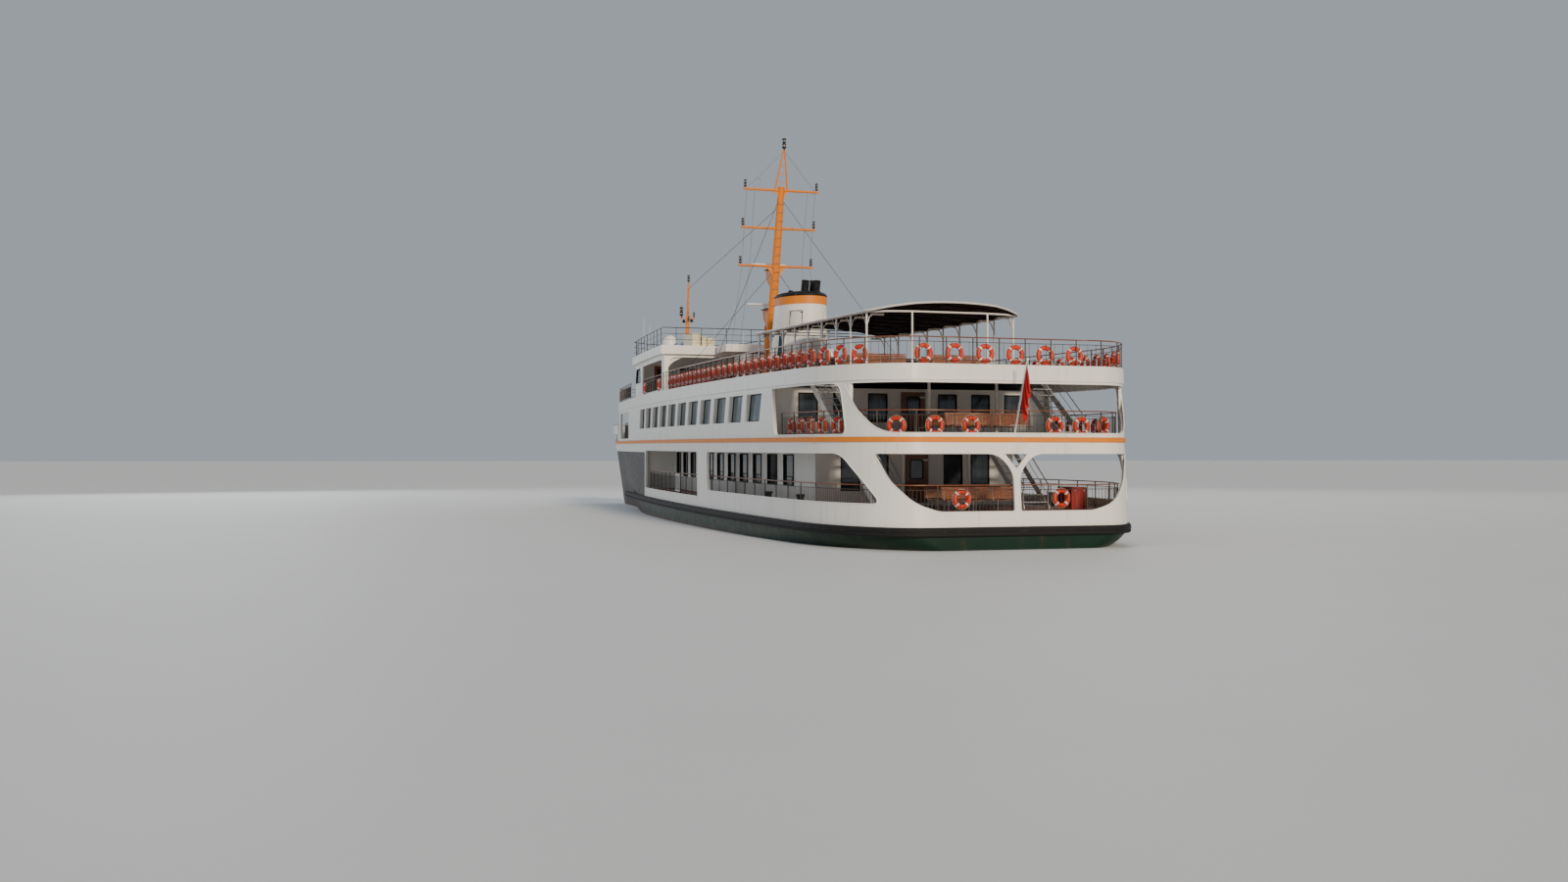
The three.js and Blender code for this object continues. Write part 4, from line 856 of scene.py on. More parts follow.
def make_shells():
    low, high = STRAKE + SEAM, UPPER_LOW - SEAM
    shell = Shape()
    wall(shell, stern_loop(low, FORECASTLE), stern_loop(high, FORECASTLE), low, high, PLATE)
    tools = [across(rounded(SIDE_AFT), SIDE_CUT["main"], OUTSIDE),
             across(rounded(BOARDING), SIDE_CUT["boarding"], OUTSIDE)]
    for corners in (STERN_MAIN, mirrored(STERN_MAIN), TRIANGLE):
        tools.append(lengthways(corners, STERN_CUT["main"]))
    piece("main_plating", shell, ["white"], replaces=["main_shell"], cutters=tools)

    low, high = UPPER_DECK + SEAM, UPPER_HEAD - SEAM
    shell, windows = Shape(), Shape()
    wall(shell, stern_loop(low, SHELL_FORE), stern_loop(high, SHELL_FORE), low, high, PLATE)
    for outline in upper_windows():
        windows.prism(outline, lengthwise, -OUTSIDE, OUTSIDE)
    tools = [across(rounded(QUARTER_WAY), SIDE_CUT["quarter"], OUTSIDE), through(FORE_WAY), windows,
             lengthways(STERN_UPPER, STERN_CUT["upper"])]
    piece("upper_plating", shell, ["white"], replaces=["upper_shell"], cutters=tools)

    rims, frames, panes = Shape(), Shape(), Shape()
    for corners in (STERN_MAIN, mirrored(STERN_MAIN), TRIANGLE, STERN_UPPER):
        rims.rim(fine(rounded(corners)), on_stern)
    for side in (1, -1):
        lay = on_side(side)
        for corners in (SIDE_AFT, BOARDING, QUARTER_WAY, FORE_WAY):
            rims.rim(fine(rounded(corners)), lay)
        for outline in upper_windows():
            frames.mark = 0
            frames.ring(outline, 0.05, lay, PLATE - 0.02, 0.3)
            frames.mark = 1
            frames.ring(outline, -0.035, lay, 0.19, 0.235)
            panes.pane(outline, lay, 0.22)
    piece("opening_rims", rims, ["white_clean"], smooth=60)
    piece("upper_window_frames", frames, ["white_clean", "rubber"])
    # The upper windows' glass is blue-grey: a painted reflection of the sky.
    piece("upper_window_glass", panes, ["glass_painted_sky_reflection"])


def make_decks():
    floor, tool = Shape(), Shape()
    loop = offset(stern_loop(UPPER_DECK, DECK_FORE), -0.03)
    floor.loft([[(x, y, z) for x, y in loop] for z in (UPPER_LOW, UPPER_DECK)])
    for ys in ((2.6, 3.9), (-3.9, -2.6)):
        tool.box((4.5, 8.5), ys, (3, 5))
    piece("upper_floor", floor, ["deck_and_ceiling"], replaces=["upper_deck"], cutters=[tool])
    stripe = Shape()
    profile = [(0.0, 0.0), (-0.012, 0.004), (-0.012, 0.19), (0.0, 0.199)]
    stripe.sweep([(x, y, UPPER_LOW) for x, y in loop], profile)
    piece("orange_stripe", stripe, ["orange"])

    band = Shape()
    wall(band, band_loop(UPPER_HEAD), band_loop(BAND_TOP), UPPER_HEAD, BAND_TOP, 0.16, True)
    piece("top_fascia", band, ["white"], replaces=["top_band"], bevel=0.015)


def band_loop(height):
    port = port_path(height, 0, SHELL_FORE + 0.4)[::-1]
    return offset(both_sides(port), -0.05, True)


# Rails: a wooden cap on steel posts, with thin balusters between two bars
CAP = [(-0.045, -0.035), (-0.045, -0.012), (-0.03, 0), (0.03, 0), (0.045, -0.012), (0.045, -0.035),
       (0.03, -0.045), (-0.03, -0.045)]
WOOD, STEEL = 0, 1
RAIL = {"low": 0.13, "drop": 0.2, "bar": 0.013, "post": 0.024, "baluster": 0.008}
INSET = 0.3


def railing(shape, path, floor, top, spacing=1.6, thin=0.15, closed=False, mids=()):
    """A cap, bars, posts and balusters along a plan path."""
    shape.mark = WOOD
    shape.sweep([(x, y, top) for x, y in path], CAP, closed)
    shape.mark = STEEL
    levels = (floor + RAIL["low"], top - RAIL["drop"], *mids)
    for level in levels:
        shape.tube([(x, y, level) for x, y in path], RAIL["bar"], 5, closed)
    for point, _ in along(path, spacing, closed):
        shape.bar((*point, floor), (*point, top - 0.03), RAIL["post"], sides=7)
        shape.lathe((*point, floor), [(0, 0), (0.055, 0), (0.055, 0.012), (0.03, 0.02)], 8)
    for point, _ in along(path, thin, closed):
        shape.bar((*point, levels[0]), (*point, levels[1]), RAIL["baluster"], sides=4, caps=False)


# Lifebuoys: a ring with four bands and a grab line, hung flat against a rail
BUOY = {"ring": 0.285, "tube": 0.088, "steps": 28, "sides": 10, "line": 0.385, "out": 0.13}
BUOY_FINISH = ["buoy_orange", "buoy_white", "rope"]


def lifebuoy(shape, point, way, height, out=1, lean=0.0):
    """A lifebuoy whose centre is beside a point of a rail; out is the side, to the right of the way."""
    normal = Vector((way.y, -way.x, 0)) * out
    flat = Vector((way.x, way.y, 0))
    up = (Vector((0, 0, 1)) + normal * lean).normalized()
    centre = Vector((point.x, point.y, height)) + normal * BUOY["out"]

    def circle(radius, start, end, steps):
        return [centre + (flat * cos(t) + up * sin(t)) * radius for t in even(start, end, steps)]

    shape.mark = 0
    ring = circle(BUOY["ring"], 0, 2 * pi, BUOY["steps"])[:-1]
    shape.tube(ring, BUOY["tube"], BUOY["sides"], closed=True)
    for k in range(4):
        middle = (k + 0.5) * pi / 2
        shape.mark = 1
        shape.tube(circle(BUOY["ring"], middle - 0.1, middle + 0.1, 3), BUOY["tube"] + 0.004, BUOY["sides"])
        shape.mark = 2
        shape.tube(circle(BUOY["line"], middle, middle + pi / 2, 6), 0.008, 4)


def buoys_on(shape, path, spots, height, side=1):
    """Lifebuoys at distances along a path."""
    lengths = [dist(a, b) for a, b in zip(path, path[1:])]
    for spot in spots:
        rest, i = spot, 0
        while i < len(lengths) - 1 and rest > lengths[i]:
            rest -= lengths[i]
            i += 1
        way = (Vector(path[i + 1]) - Vector(path[i])).normalized()
        level = height + random.uniform(-0.015, 0.015)
        lifebuoy(shape, Vector(path[i]) + way * rest, way, level, side, random.uniform(-0.04, 0.04))


def buoy_piece(name, shape):
    piece(name, shape, BUOY_FINISH)


def length_of(path):
    return sum(dist(a, b) for a, b in zip(path, path[1:]))


GATE = {"from": 29.4, "wide": 1.5, "low": 0.12, "high": 1.06, "clear": 0.12}
TOP_FORE = 33.4


def top_rail_path():
    return offset(stern_loop(BAND_TOP, TOP_FORE), 0.03)


def upper_rail_path():
    return offset(stern_loop(UPPER_RAIL, 9.2), INSET)


def stern_rail_path():
    return offset(stern_loop(MAIN_RAIL, 3.55), INSET)


def forward_rail_path(side):
    return [(x, side * (y - 0.32)) for x, y in port_path(UPPER_RAIL, 50.48, 58.2)]


def rail_line(x):
    return half_at(x) - INSET


def railings(paths, floor, top, **details):
    rail = Shape()
    for path in paths:
        railing(rail, path, floor, top, **details)
    return rail


def rail_piece(name, rail, nodes=()):
    piece(name, rail, ["varnish", "rail_paint"], replaces=nodes)


def make_rails():
    top = railings([top_rail_path()], BAND_TOP, TOP_RAIL, spacing=1.09, thin=0.36)
    rail_piece("top_railing", top, ["top_rail"])
    rail_piece("upper_railing", railings([upper_rail_path()], UPPER_DECK, UPPER_RAIL), ["upper_rail"])
    fore = offset(both_sides(port_path(BAND_TOP, 49.6, SHELL_FORE + 0.36)), -0.03)
    rail_piece("fore_railing", railings([fore], BAND_TOP, TOP_RAIL, mids=(7.45,)), ["fore_rail"])

    spans = ((3.6, GATE["from"] - GATE["clear"]), (GATE["from"] + GATE["wide"] + GATE["clear"], 40.4))
    for side, name in SIDES:
        paths = [[(x, side * (y - INSET)) for x, y in port_path(MAIN_RAIL, *span)] for span in spans]
        rail = railings(paths, MAIN_DECK, MAIN_RAIL)
        rail.mark = STEEL
        sill = [(x, side * rail_line(x), MAIN_DECK + 0.02) for x in (spans[0][1], spans[1][0])]
        rail.bar(*sill, 0.02, sides=6)
        pin = (GATE["from"], side * rail_line(GATE["from"]))
        rail.bar((*pin, MAIN_DECK), (*pin, MAIN_DECK + GATE["low"] - 0.002), 0.035, sides=12)
        rail_piece("main_railing_" + name, rail, ["main_rail_" + name])
    rail_piece("stern_railing", railings([stern_rail_path()], MAIN_DECK, MAIN_RAIL))
    paths = [forward_rail_path(side) for side in (1, -1)]
    rail_piece("forward_railing", railings(paths, UPPER_DECK, UPPER_RAIL + 0.25))


def make_lifebuoys():
    top = top_rail_path()
    run = length_of(top)
    port = [1.6 + 0.74 * i for i in range(16)] + [14 + 1.09 * i for i in range(17)]
    stern = [run / 2 + 1.27 * (i - 2.85) for i in range(6)]
    for name, spots in (("port", port + stern), ("starboard", [run - spot for spot in port])):
        rings = Shape()
        buoys_on(rings, top, spots, TOP_RAIL - 0.62, -1)
        buoy_piece("top_lifebuoys_" + name, rings)

    rings = Shape()
    upper = upper_rail_path()
    run = length_of(upper)
    side = [0.9 + 1.15 * i for i in range(5)]
    spots = side + [run - spot for spot in side] + [run / 2 + y for y in (-4.7, -3.1, -1.6, 1.95, 3.1, 4.2)]
    buoys_on(rings, upper, spots, UPPER_RAIL - 0.6, -1)
    stern = stern_rail_path()
    middle = length_of(stern) / 2
    buoys_on(rings, stern, [middle - 2.1, middle + 2.1], MAIN_RAIL - 0.55, -1)
    for side in (1, -1):
        buoys_on(rings, forward_rail_path(side), [1.9, 3.1, 4.3], UPPER_RAIL - 0.3, side)
    buoy_piece("lower_lifebuoys", rings)


# Benches, slatted, on steel frames
def bench(shape, x, y0, y1, floor):
    shape.mark = 0
    for k in range(5):
        a = x - 0.22 + k * 0.09
        shape.box((a, a + 0.075), (y0, y1), (floor + 0.425, floor + 0.447))
    for k in range(6):
        z = floor + 0.5 + k * 0.078
        a = x + 0.2 + 0.24 * (z - floor - 0.4)
        shape.box((a, a + 0.02), (y0, y1), (z, z + 0.066))
    shape.mark = 1
    for y in even(y0 + 0.1, y1 - 0.1, max(1, round((y1 - y0) / 1.2))):
        for line in ([(-0.2, 0), (-0.2, 0.41), (0.2, 0.41), (0.34, 0.95)], [(0.18, 0), (0.18, 0.41)]):
            shape.tube([(x + a, y, floor + up) for a, up in line], 0.018, 6)
        shape.bar((x - 0.2, y, floor + 0.12), (x + 0.18, y, floor + 0.12), 0.012, sides=5)


SEATS = [
    # piece, stations of the rows, floor, spans across the ship, nodes
    ("top_seats", [9, 10.6, 12.2, 13.8, 15.4, 17, 18.6, 20.2], TOP_DECK, [(0.6, 3.0), (-3.0, -0.6)],
     ["top_benches_port", "top_benches_starboard"]),
    ("upper_seats", [2.4, 4.0, 5.6], UPPER_DECK, [(-1.8, 1.8)], ["upper_benches"]),
    ("main_seats", [3.0, 4.6, 6.2], MAIN_DECK, [(-1.7, 1.7)], ["main_benches"]),
]


def make_benches():
    for name, rows, floor, spans, nodes in SEATS:
        seats = Shape()
        for x in rows:
            for y0, y1 in spans:
                bench(seats, x, y0, y1, floor)
        piece(name, seats, ["bench_wood", "galvanised"], replaces=nodes)


# Stairs with stringers, treads and handrails
STAIR = {"steps": 10, "from": 4.7, "to": 8.45, "plate": 0.03}
FLIGHTS = [("main", MAIN_DECK, UPPER_DECK, (2.66, 3.84)), ("upper", UPPER_DECK, TOP_DECK, (4.46, 5.44))]


def make_flight(low, high, y0, y1):
    flight = Shape()
    steps, start, end, plate = STAIR.values()
    run, rise = (end - start) / steps, (high - low) / steps
    corners = [(start, low), (start + 0.3, low), (end, high - 0.28), (end, high - 0.02),
               (end - 0.1, high - 0.02), (start, low + 0.12)]
    for y in (y0, y1 - plate):
        flight.prism(corners, lengthwise, y, y + plate)
    flight.mark = 1
    for k in range(steps - 1):
        x, z = start + (k + 0.35) * run, low + (k + 1) * rise
        flight.box((x - 0.03, x + run * 0.75), (y0 + plate, y1 - plate), (z - 0.025, z))
    flight.mark = 2
    for y in (y0 + plate / 2, y1 - plate / 2):
        top = [(start + 0.1, y, low + 1.0), (end - 0.9, y, low + 1.0 + (end - start - 1.0) * rise / run)]
        flight.tube([(start + 0.1, y, low + 0.15), *top], 0.022, 7)
        flight.tube([(p[0], p[1], p[2] - 0.45) for p in top], 0.014, 6)
    return flight


def make_stairs():
    for deck, low, high, well in FLIGHTS:
        for side, name in SIDES:
            flight = make_flight(low, high, *sorted((side * well[0], side * well[1])))
            piece(deck + "_flight_" + name, flight, ["white_clean", "grey", "galvanised"],
                  replaces=[deck + "_stair_" + name])


# Windows and doors of the deckhouse and bulkheads
HOUSE_WALK = 1.9
HOUSE_WINDOWS = {"from": 12.5, "pitch": 2.6, "count": 11, "wide": 1.5, "sill": 2.15, "head": 3.55}
FRAME_WIDE = 0.05
CROSS_WIDE = 0.9
CROSS_WINDOWS = [
    # wall, left edges, sill and head
    (facing_aft(MAIN_HOUSE_AFT), (-3.5, -2.2, 1.3, 2.6), (2.0, 3.6)),
    (facing_aft(UPPER_HOUSE_AFT), (-5.3, -3.7, -2.1, 1.2, 2.8, 4.4), (4.95, 6.2)),
    (facing_fore(UPPER_HOUSE_FORE), (-1.6, 0.7), (4.95, 6.2)),
]


def oblong(a0, a1, b0, b1, radius=0.08):
    return rounded([[a0, b0, radius], [a1, b0, radius], [a1, b1, radius], [a0, b1, radius]], 3)


def glazing(frames, panes, outline, lay, proud=0.02, deep=0.06):
    """A window's frame, standing a little proud of the wall, with its glass set back."""
    frames.ring(outline, -FRAME_WIDE, lay, -proud, deep)
    inner = offset(outline, FRAME_WIDE * 0.9, True)
    panes.pane(inner, lay, deep * 0.5)


def make_glazing():
    frames, panes = Shape(), Shape()
    for i in range(HOUSE_WINDOWS["count"]):
        x = HOUSE_WINDOWS["from"] + i * HOUSE_WINDOWS["pitch"]
        outline = oblong(x, x + HOUSE_WINDOWS["wide"], HOUSE_WINDOWS["sill"], HOUSE_WINDOWS["head"])
        for side in (1, -1):
            glazing(frames, panes, outline, on_house(side, HOUSE_WALK), 0.04, 0.09)
    for lay, edges, levels in CROSS_WINDOWS:
        for y in edges:
            glazing(frames, panes, oblong(y, y + CROSS_WIDE, *levels), lay)
    piece("house_window_frames", frames, ["rubber"])
    piece("house_window_glass", panes, ["glass"])


DOOR_OFF = 0.045
DOOR_LAP = 0.06
DOORS = [
    # body, station, hinge, side that the leaf reaches to from its hinge, width, height, sill
    ("main_aft_door", MAIN_HOUSE_AFT, -0.56, 1, 1.0, 2.05, MAIN_DECK + 0.15),
    ("upper_aft_door", UPPER_HOUSE_AFT, -0.56, 1, 1.0, 1.85, UPPER_DECK + 0.15),
]


def door_fittings(body, x, hinge, swing, wide, tall, sill):
    """Window, handle and hinges of a door leaf."""
    reach = swing * (wide + 2 * DOOR_LAP)
    face = x - DOOR_OFF - 0.03
    ys = sorted((hinge + reach * 0.25, hinge + reach * 0.75))
    outline = oblong(*ys, sill + tall * 0.5, sill + tall * 0.88, 0.07)
    fit = Shape()
    fit.ring(outline, 0.04, facing_aft(face), -0.012, 0.072)
    fit.mark = 1
    fit.pane(outline, facing_aft(face), 0.025)
    fit.mark = 2
    handle = [(0, 0.95), (-0.05, 0.97), (-0.05, 1.15), (0, 1.17)]
    fit.tube([(face + a, hinge + reach * 0.88, sill + up) for a, up in handle], 0.011, 6)
    strap = sorted((hinge + swing * 0.02, hinge + swing * 0.3))
    for z in (sill + 0.25, sill + tall - 0.3):
        fit.bar((x - DOOR_OFF, hinge, z), (x - DOOR_OFF, hinge, z + 0.14), 0.02, sides=10)
        fit.box((face - 0.006, face), strap, (z + 0.03, z + 0.11))
    piece(body + "_fittings", fit, ["rubber", "glass", "galvanised"], body)


def make_doors():
    for door in DOORS:
        door_fittings(*door)
    start, end = GATE["from"], GATE["from"] + GATE["wide"]
    for side, name in SIDES:
        door_fittings("cab_door_" + name, 43.85, side * 1.94, side, 0.8, 1.85, TOP_DECK + 0.15)
        gate = Shape()
        ends = [(start + 0.02, side * rail_line(start)), (end - 0.02, side * rail_line(end))]
        gate.sweep([(x, y, MAIN_DECK + GATE["high"] + 0.045) for x, y in ends], CAP)
        gate.mark = 1
        for x, y in zip(*(even(a, b, 10)[1:-1] for a, b in zip(*ends))):
            gate.bar((x, y, MAIN_DECK + 0.18), (x, y, MAIN_DECK + 0.98), 0.008, sides=5)
        piece("gate_fittings_" + name, gate, ["varnish", "galvanised"],
              "boarding_gate_" + name)


def turned(shape, start, end, profile, steps=20):
    """A profile of (radius, distance from the start) turned about the line from start to end."""
    start, way = Vector(start), Vector(end) - Vector(start)
    spin = Vector((0, 0, 1)).rotation_difference(way.normalized())
    local = Shape()
    local.mark = shape.mark
    local.lathe((0, 0, 0), profile, steps)
    shape.stamp(local, lambda p: start + spin @ p)


def hollow(shape, start, end, radius):
    """A pipe open at its end, with a rolled lip."""
    size, depth = dist(start, end), 0.25
    outer, bore = radius + 0.018, radius - 0.02
    profile = [(0, 0), (radius, 0), (radius, size - 0.05), (outer, size - 0.04), (outer, size - 0.01),
               (radius, size), (bore, size), (bore, size - depth), (0, size - depth)]
    turned(shape, start, end, profile, 24)


# Funnel: white with an orange band, a black domed cap and its pipes
FUNNEL = {"x": 25.0, "base": (2.3, 1.5), "top": (1.9, 1.25), "height": 11.6, "lean": -0.5, "band": 0.41}
LOUVRE = {"from": 2.25, "to": 2.75, "low": 9.85, "high": 10.85, "slats": 9}
SLAT = [(0.024, 0.014), (0.03, 0.016), (0.006, 0.04), (0, 0.038)]
FUNNEL_DOOR = [(1.86, 7.75), (2.12, 7.75), (2.12, 9.6), (1.86, 9.6)]
CROWN = [
    # how far it reaches past the rim, height over it
    (0.0, 0.0), (0.03, 0.012), (0.03, 0.07), (0.0, 0.13), (-0.07, 0.185), (-0.2, 0.235), (-0.4, 0.27),
    (-0.7, 0.3), (-1.0, 0.315),
]
EXHAUSTS = [
    # x from the cap's middle, y, radius, height over the cap's edge, lean aft
    (-0.85, 0.1, 0.2, 0.84, 0.2), (-1.35, -0.35, 0.18, 0.79, 0.2), (-0.6, -0.4, 0.16, 0.86, 0.2),
    (0.15, 0.5, 0.12, 0.41, 0.0), (0.75, 0.3, 0.1, 0.35, 0.0),
]


def oval(turn, height, grow=0.0):
    part = min(1.0, (height - TOP_DECK) / (FUNNEL["height"] - TOP_DECK))
    long, half = [a + (b - a) * part for a, b in zip(FUNNEL["base"], FUNNEL["top"])]
    middle = FUNNEL["x"] + FUNNEL["lean"] * part
    return (middle + (long + grow) * cos(turn), (half + grow) * sin(turn), height)


def on_funnel(a, b, d):
    return oval(a, b, -d)


def oval_ring(height, grow=0.0):
    return [oval(turn, height, grow) for turn in full_turn(64)]


def make_funnel():
    top = FUNNEL["height"]
    low = top - FUNNEL["band"]
    casing = Shape()

    def stack(*rings, caps=True):
        casing.loft([oval_ring(height, grow) for height, grow in rings], caps=caps)

    stack((TOP_DECK + SEAM, 0), (8.6, 0), (10.2, 0), (low, 0))
    stack((TOP_DECK, 0.05), (TOP_DECK + 0.14, 0.05), (TOP_DECK + 0.16, 0.02))
    for weld in (8.45, 9.9):
        stack((weld - 0.012, 0), (weld - 0.006, 0.008), (weld + 0.006, 0.008), (weld + 0.012, 0), caps=False)
    casing.mark = 1
    stack((low - 0.004, 0.006), (low, 0.014), (top - 0.02, 0.014), (top - 0.002, 0.01))
    louvre = [(LOUVRE["from"], LOUVRE["low"]), (LOUVRE["to"], LOUVRE["low"]),
              (LOUVRE["to"], LOUVRE["high"]), (LOUVRE["from"], LOUVRE["high"])]
    # The louvre's raised backing plate is black: painted shade in the openings between its slats.
    for mark, corners, proud in ((2, louvre, 0.012), (3, FUNNEL_DOOR, 0.03)):
        outline = fine(corners, 0.05)
        casing.mark = mark
        casing.prism(outline, on_funnel, -0.004, -proud)
        casing.mark = 0
        casing.ring(outline, 0.03, on_funnel, 0.0, -0.05)
    step = (LOUVRE["high"] - LOUVRE["low"]) / LOUVRE["slats"]
    for k in range(LOUVRE["slats"]):
        z = LOUVRE["low"] + (k + 0.4) * step
        turns = even(LOUVRE["from"], LOUVRE["to"], 6)
        casing.loft([[oval(turn, z + up, grow) for up, grow in SLAT] for turn in turns])
    for k in range(7):
        z = 7.5 + 0.42 * k
        rung = [oval(turn, z, grow) for turn, grow in ((3, 0), (3, 0.1), (3.2, 0.1), (3.2, 0))]
        casing.tube(rung, 0.012, 6)
    pipe = [(0, 0), (0.07, 0), (0.07, 1.0), (0.09, 1.02), (0.09, 1.1), (0, 1.1)]
    turned(casing, (22.35, -0.5, 9.4), (22.3, -0.5, 10.5), pipe)
    casing.bar((22.35, -0.5, 9.7), (23.0, -0.45, 9.7), 0.03)
    piece("funnel_casing", casing, ["white", "orange", "black", "teal"], replaces=["funnel"])

    crown = Shape()
    crown.loft([[(x, y, top + 0.002 + up) for x, y, _ in oval_ring(top, grow)] for grow, up in CROWN])
    for fore, y, radius, tall, aft in EXHAUSTS:
        x = FUNNEL["x"] + FUNNEL["lean"] + fore
        hollow(crown, (x, y, top + 0.15), (x - aft, y, top + tall), radius)
        flange = [(0, 0), (radius + 0.06, 0), (radius + 0.05, 0.1), (radius, 0.12), (0, 0.12)]
        crown.lathe((x, y, top + 0.18), flange, 20)
    piece("funnel_crown", crown, ["soot"], replaces=["funnel_cap"], smooth=45)


# Main mast with its yards, lamps, radars and topmast
MAST = {"foot": 30.1, "head": 27.6, "low": TOP_DECK - 0.1, "high": 17.9, "radius": 0.3, "end": 0.18}
YARDS = [
    # height, half length, reach and drop of the gussets under it
    (13.7, 2.05, 0.75, 0.6), (15.7, 2.05, 0.3, 0.14), (17.7, 2.05, 0.6, 0.36),
]
RADARS = [("upper", 13.9, 1.3), ("lower", 11.75, 1.4)]
SCANNER_CLEAR = 0.07
TOPMAST = {"foot": 17.72, "head": 19.8, "half": 0.35, "lean": 0.5, "rung": 0.42}
PEDESTAL = [(0, 0), (0.21, 0), (0.22, 0.02), (0.19, 0.05), (0.17, 0.13), (0.13, 0.155), (0, 0.155)]
SPINDLE = [(0, 0), (0.115, 0), (0.115, 0.06), (0.07, 0.1), (0.07, 0.17), (0, 0.17)]
LANTERN = [
    # number of the finish, profile of (radius, height)
    (1, [(0, 0), (0.03, 0), (0.03, 0.08), (0.09, 0.09), (0.1, 0.11), (0.1, 0.14), (0.08, 0.15), (0, 0.15)]),
    (1, [(0, 0.24), (0.08, 0.25), (0.105, 0.255), (0.105, 0.28), (0.05, 0.3), (0.05, 0.33), (0.09, 0.34),
         (0.09, 0.36), (0, 0.36)]),
    (1, [(0, 0.45), (0.1, 0.455), (0.1, 0.49), (0.04, 0.53), (0, 0.53)]),
    (2, [(0, 0.14), (0.082, 0.14), (0.082, 0.26), (0, 0.26)]),
    (2, [(0, 0.35), (0.075, 0.35), (0.075, 0.46), (0, 0.46)]),
]


def mast_part(height):
    return (height - MAST["low"]) / (MAST["high"] - MAST["low"])


def mast_at(height):
    return MAST["foot"] + (MAST["head"] - MAST["foot"]) * mast_part(height)


def mast_radius(height):
    return MAST["radius"] + (MAST["end"] - MAST["radius"]) * mast_part(height)


def lantern(shape, foot, size=1.0):
    """A navigation lamp of two tiers on a stem."""
    for mark, profile in LANTERN:
        shape.mark = mark
        shape.lathe(foot, [(r * size, h * size) for r, h in profile], 14)


def mast_pole(pole):
    """The tapered pole on its flange, with gussets round its foot."""
    low = TOP_DECK + SEAM
    foot, head = (mast_at(low), 0, low), (MAST["head"], 0, MAST["high"])
    size = dist(foot, head)
    r0, r1 = mast_radius(TOP_DECK), MAST["end"]
    turned(pole, foot, head, [(0, 0), (r0 + 0.14, 0), (r0 + 0.14, 0.03), (r0 + 0.02, 0.05), (r0, 0.3),
                              (r1, size - 0.02), (r1 - 0.02, size), (0, size)], 36)
    for turn in full_turn(8):
        way = Vector((cos(turn), sin(turn), 0))
        base = Vector(foot) + way * (r0 - 0.02)
        side = Vector((-way.y, way.x, 0)) * 0.008
        web = [base, base + way * 0.14, base + Vector((0, 0, 0.32))]
        pole.loft([[p - side for p in web], [p + side for p in web]])


def yard(pole, height, half, reach, drop):
    """A tapered spar with gussets under it and a lamp on a block at each end."""
    x, r = mast_at(height), mast_radius(height)
    web = [(r - 0.03, height - 0.02), (r + reach, height - 0.02), *hollow_corner(r, height, reach, drop),
           (r - 0.03, height - drop)]
    pole.mark = 0
    spar = [(x, y, height) for y in (-half, 0.1 - half, 0, half - 0.1, half)]
    pole.tube(spar, [0.05, 0.06, 0.075, 0.06, 0.05], 12)
    for side in (1, -1):
        pole.mark = 0
        pole.prism([(side * a, b) for a, b in web], facing_aft(x), -0.03, 0.03)
        pole.lathe((x, side * half, height - 0.05), [(0, 0), (0.1, 0), (0.1, 0.1), (0, 0.1)], 12)
        lantern(pole, (x, side * (half - 0.02), height + 0.04), 0.85)
        pole.mark = 3
        pole.tube([(x, side * (half - 0.28), height - under) for under in (0.05, 0.13)], 0.012, 6)


def radar_bracket(pole, height, reach):
    """A platform ahead of the mast on a curved web, with the scanner's pedestal."""
    x, r = mast_at(height), mast_radius(height)
    tip = x + reach
    arc = [(tip + 0.24 - (reach + 0.1 - r) * (1 - cos(t)) * 0.94, height - 0.32 - 0.95 * sin(t))
           for t in quarter_turn(10)]
    pole.mark = 0
    web = [(x, height - 0.3), (tip + 0.24, height - 0.3), *arc, (x, height - 1.3)]
    pole.prism(web, lengthwise, -0.035, 0.035)
    pole.tube([(a, 0, b) for a, b in arc], 0.055, 8)
    pole.mark = 1
    plate = rounded([[x, -0.24], [tip + 0.1, -0.24], [tip + 0.28, 0, 0.1], [tip + 0.1, 0.24], [x, 0.24]], 4)
    pole.loft([[(a, b, level) for a, b in plate] for level in (height - 0.3, height - 0.26)])
    pole.mark = 4
    pole.lathe((tip, 0, height - 0.26), PEDESTAL, 24)


def topmast(pole):
    """Two legs that meet at the highest lamp, with rungs between them."""
    low, high, half, lean, rung = TOPMAST.values()
    x = mast_at(YARDS[-1][0])
    pole.mark = 0
    for y in (-half, half):
        pole.bar((x, y, low), (x - lean, y * 0.1, high), 0.05, 0.04, 10)
    for k in range(1, 5):
        part = k * rung / (high - low)
        spread = half * (1 - part * 0.9)
        pole.bar(*[(x - lean * part, y, low + k * rung) for y in (-spread, spread)], 0.018, sides=6)
    lantern(pole, (x - lean, 0, high - 0.02), 1.25)


def wind_gauge(pole, x, y, low, high):
    pole.bar((x, y, low), (x, y, high), 0.014, sides=6)
    for turn in full_turn(3):
        tip = (x + 0.16 * cos(turn), y + 0.16 * sin(turn), high)
        pole.bar((x, y, high), tip, 0.007, sides=5)
        pole.lathe(tip, [(0, -0.03), (0.035, -0.02), (0.04, 0.0), (0.035, 0.02), (0, 0.03)], 8)


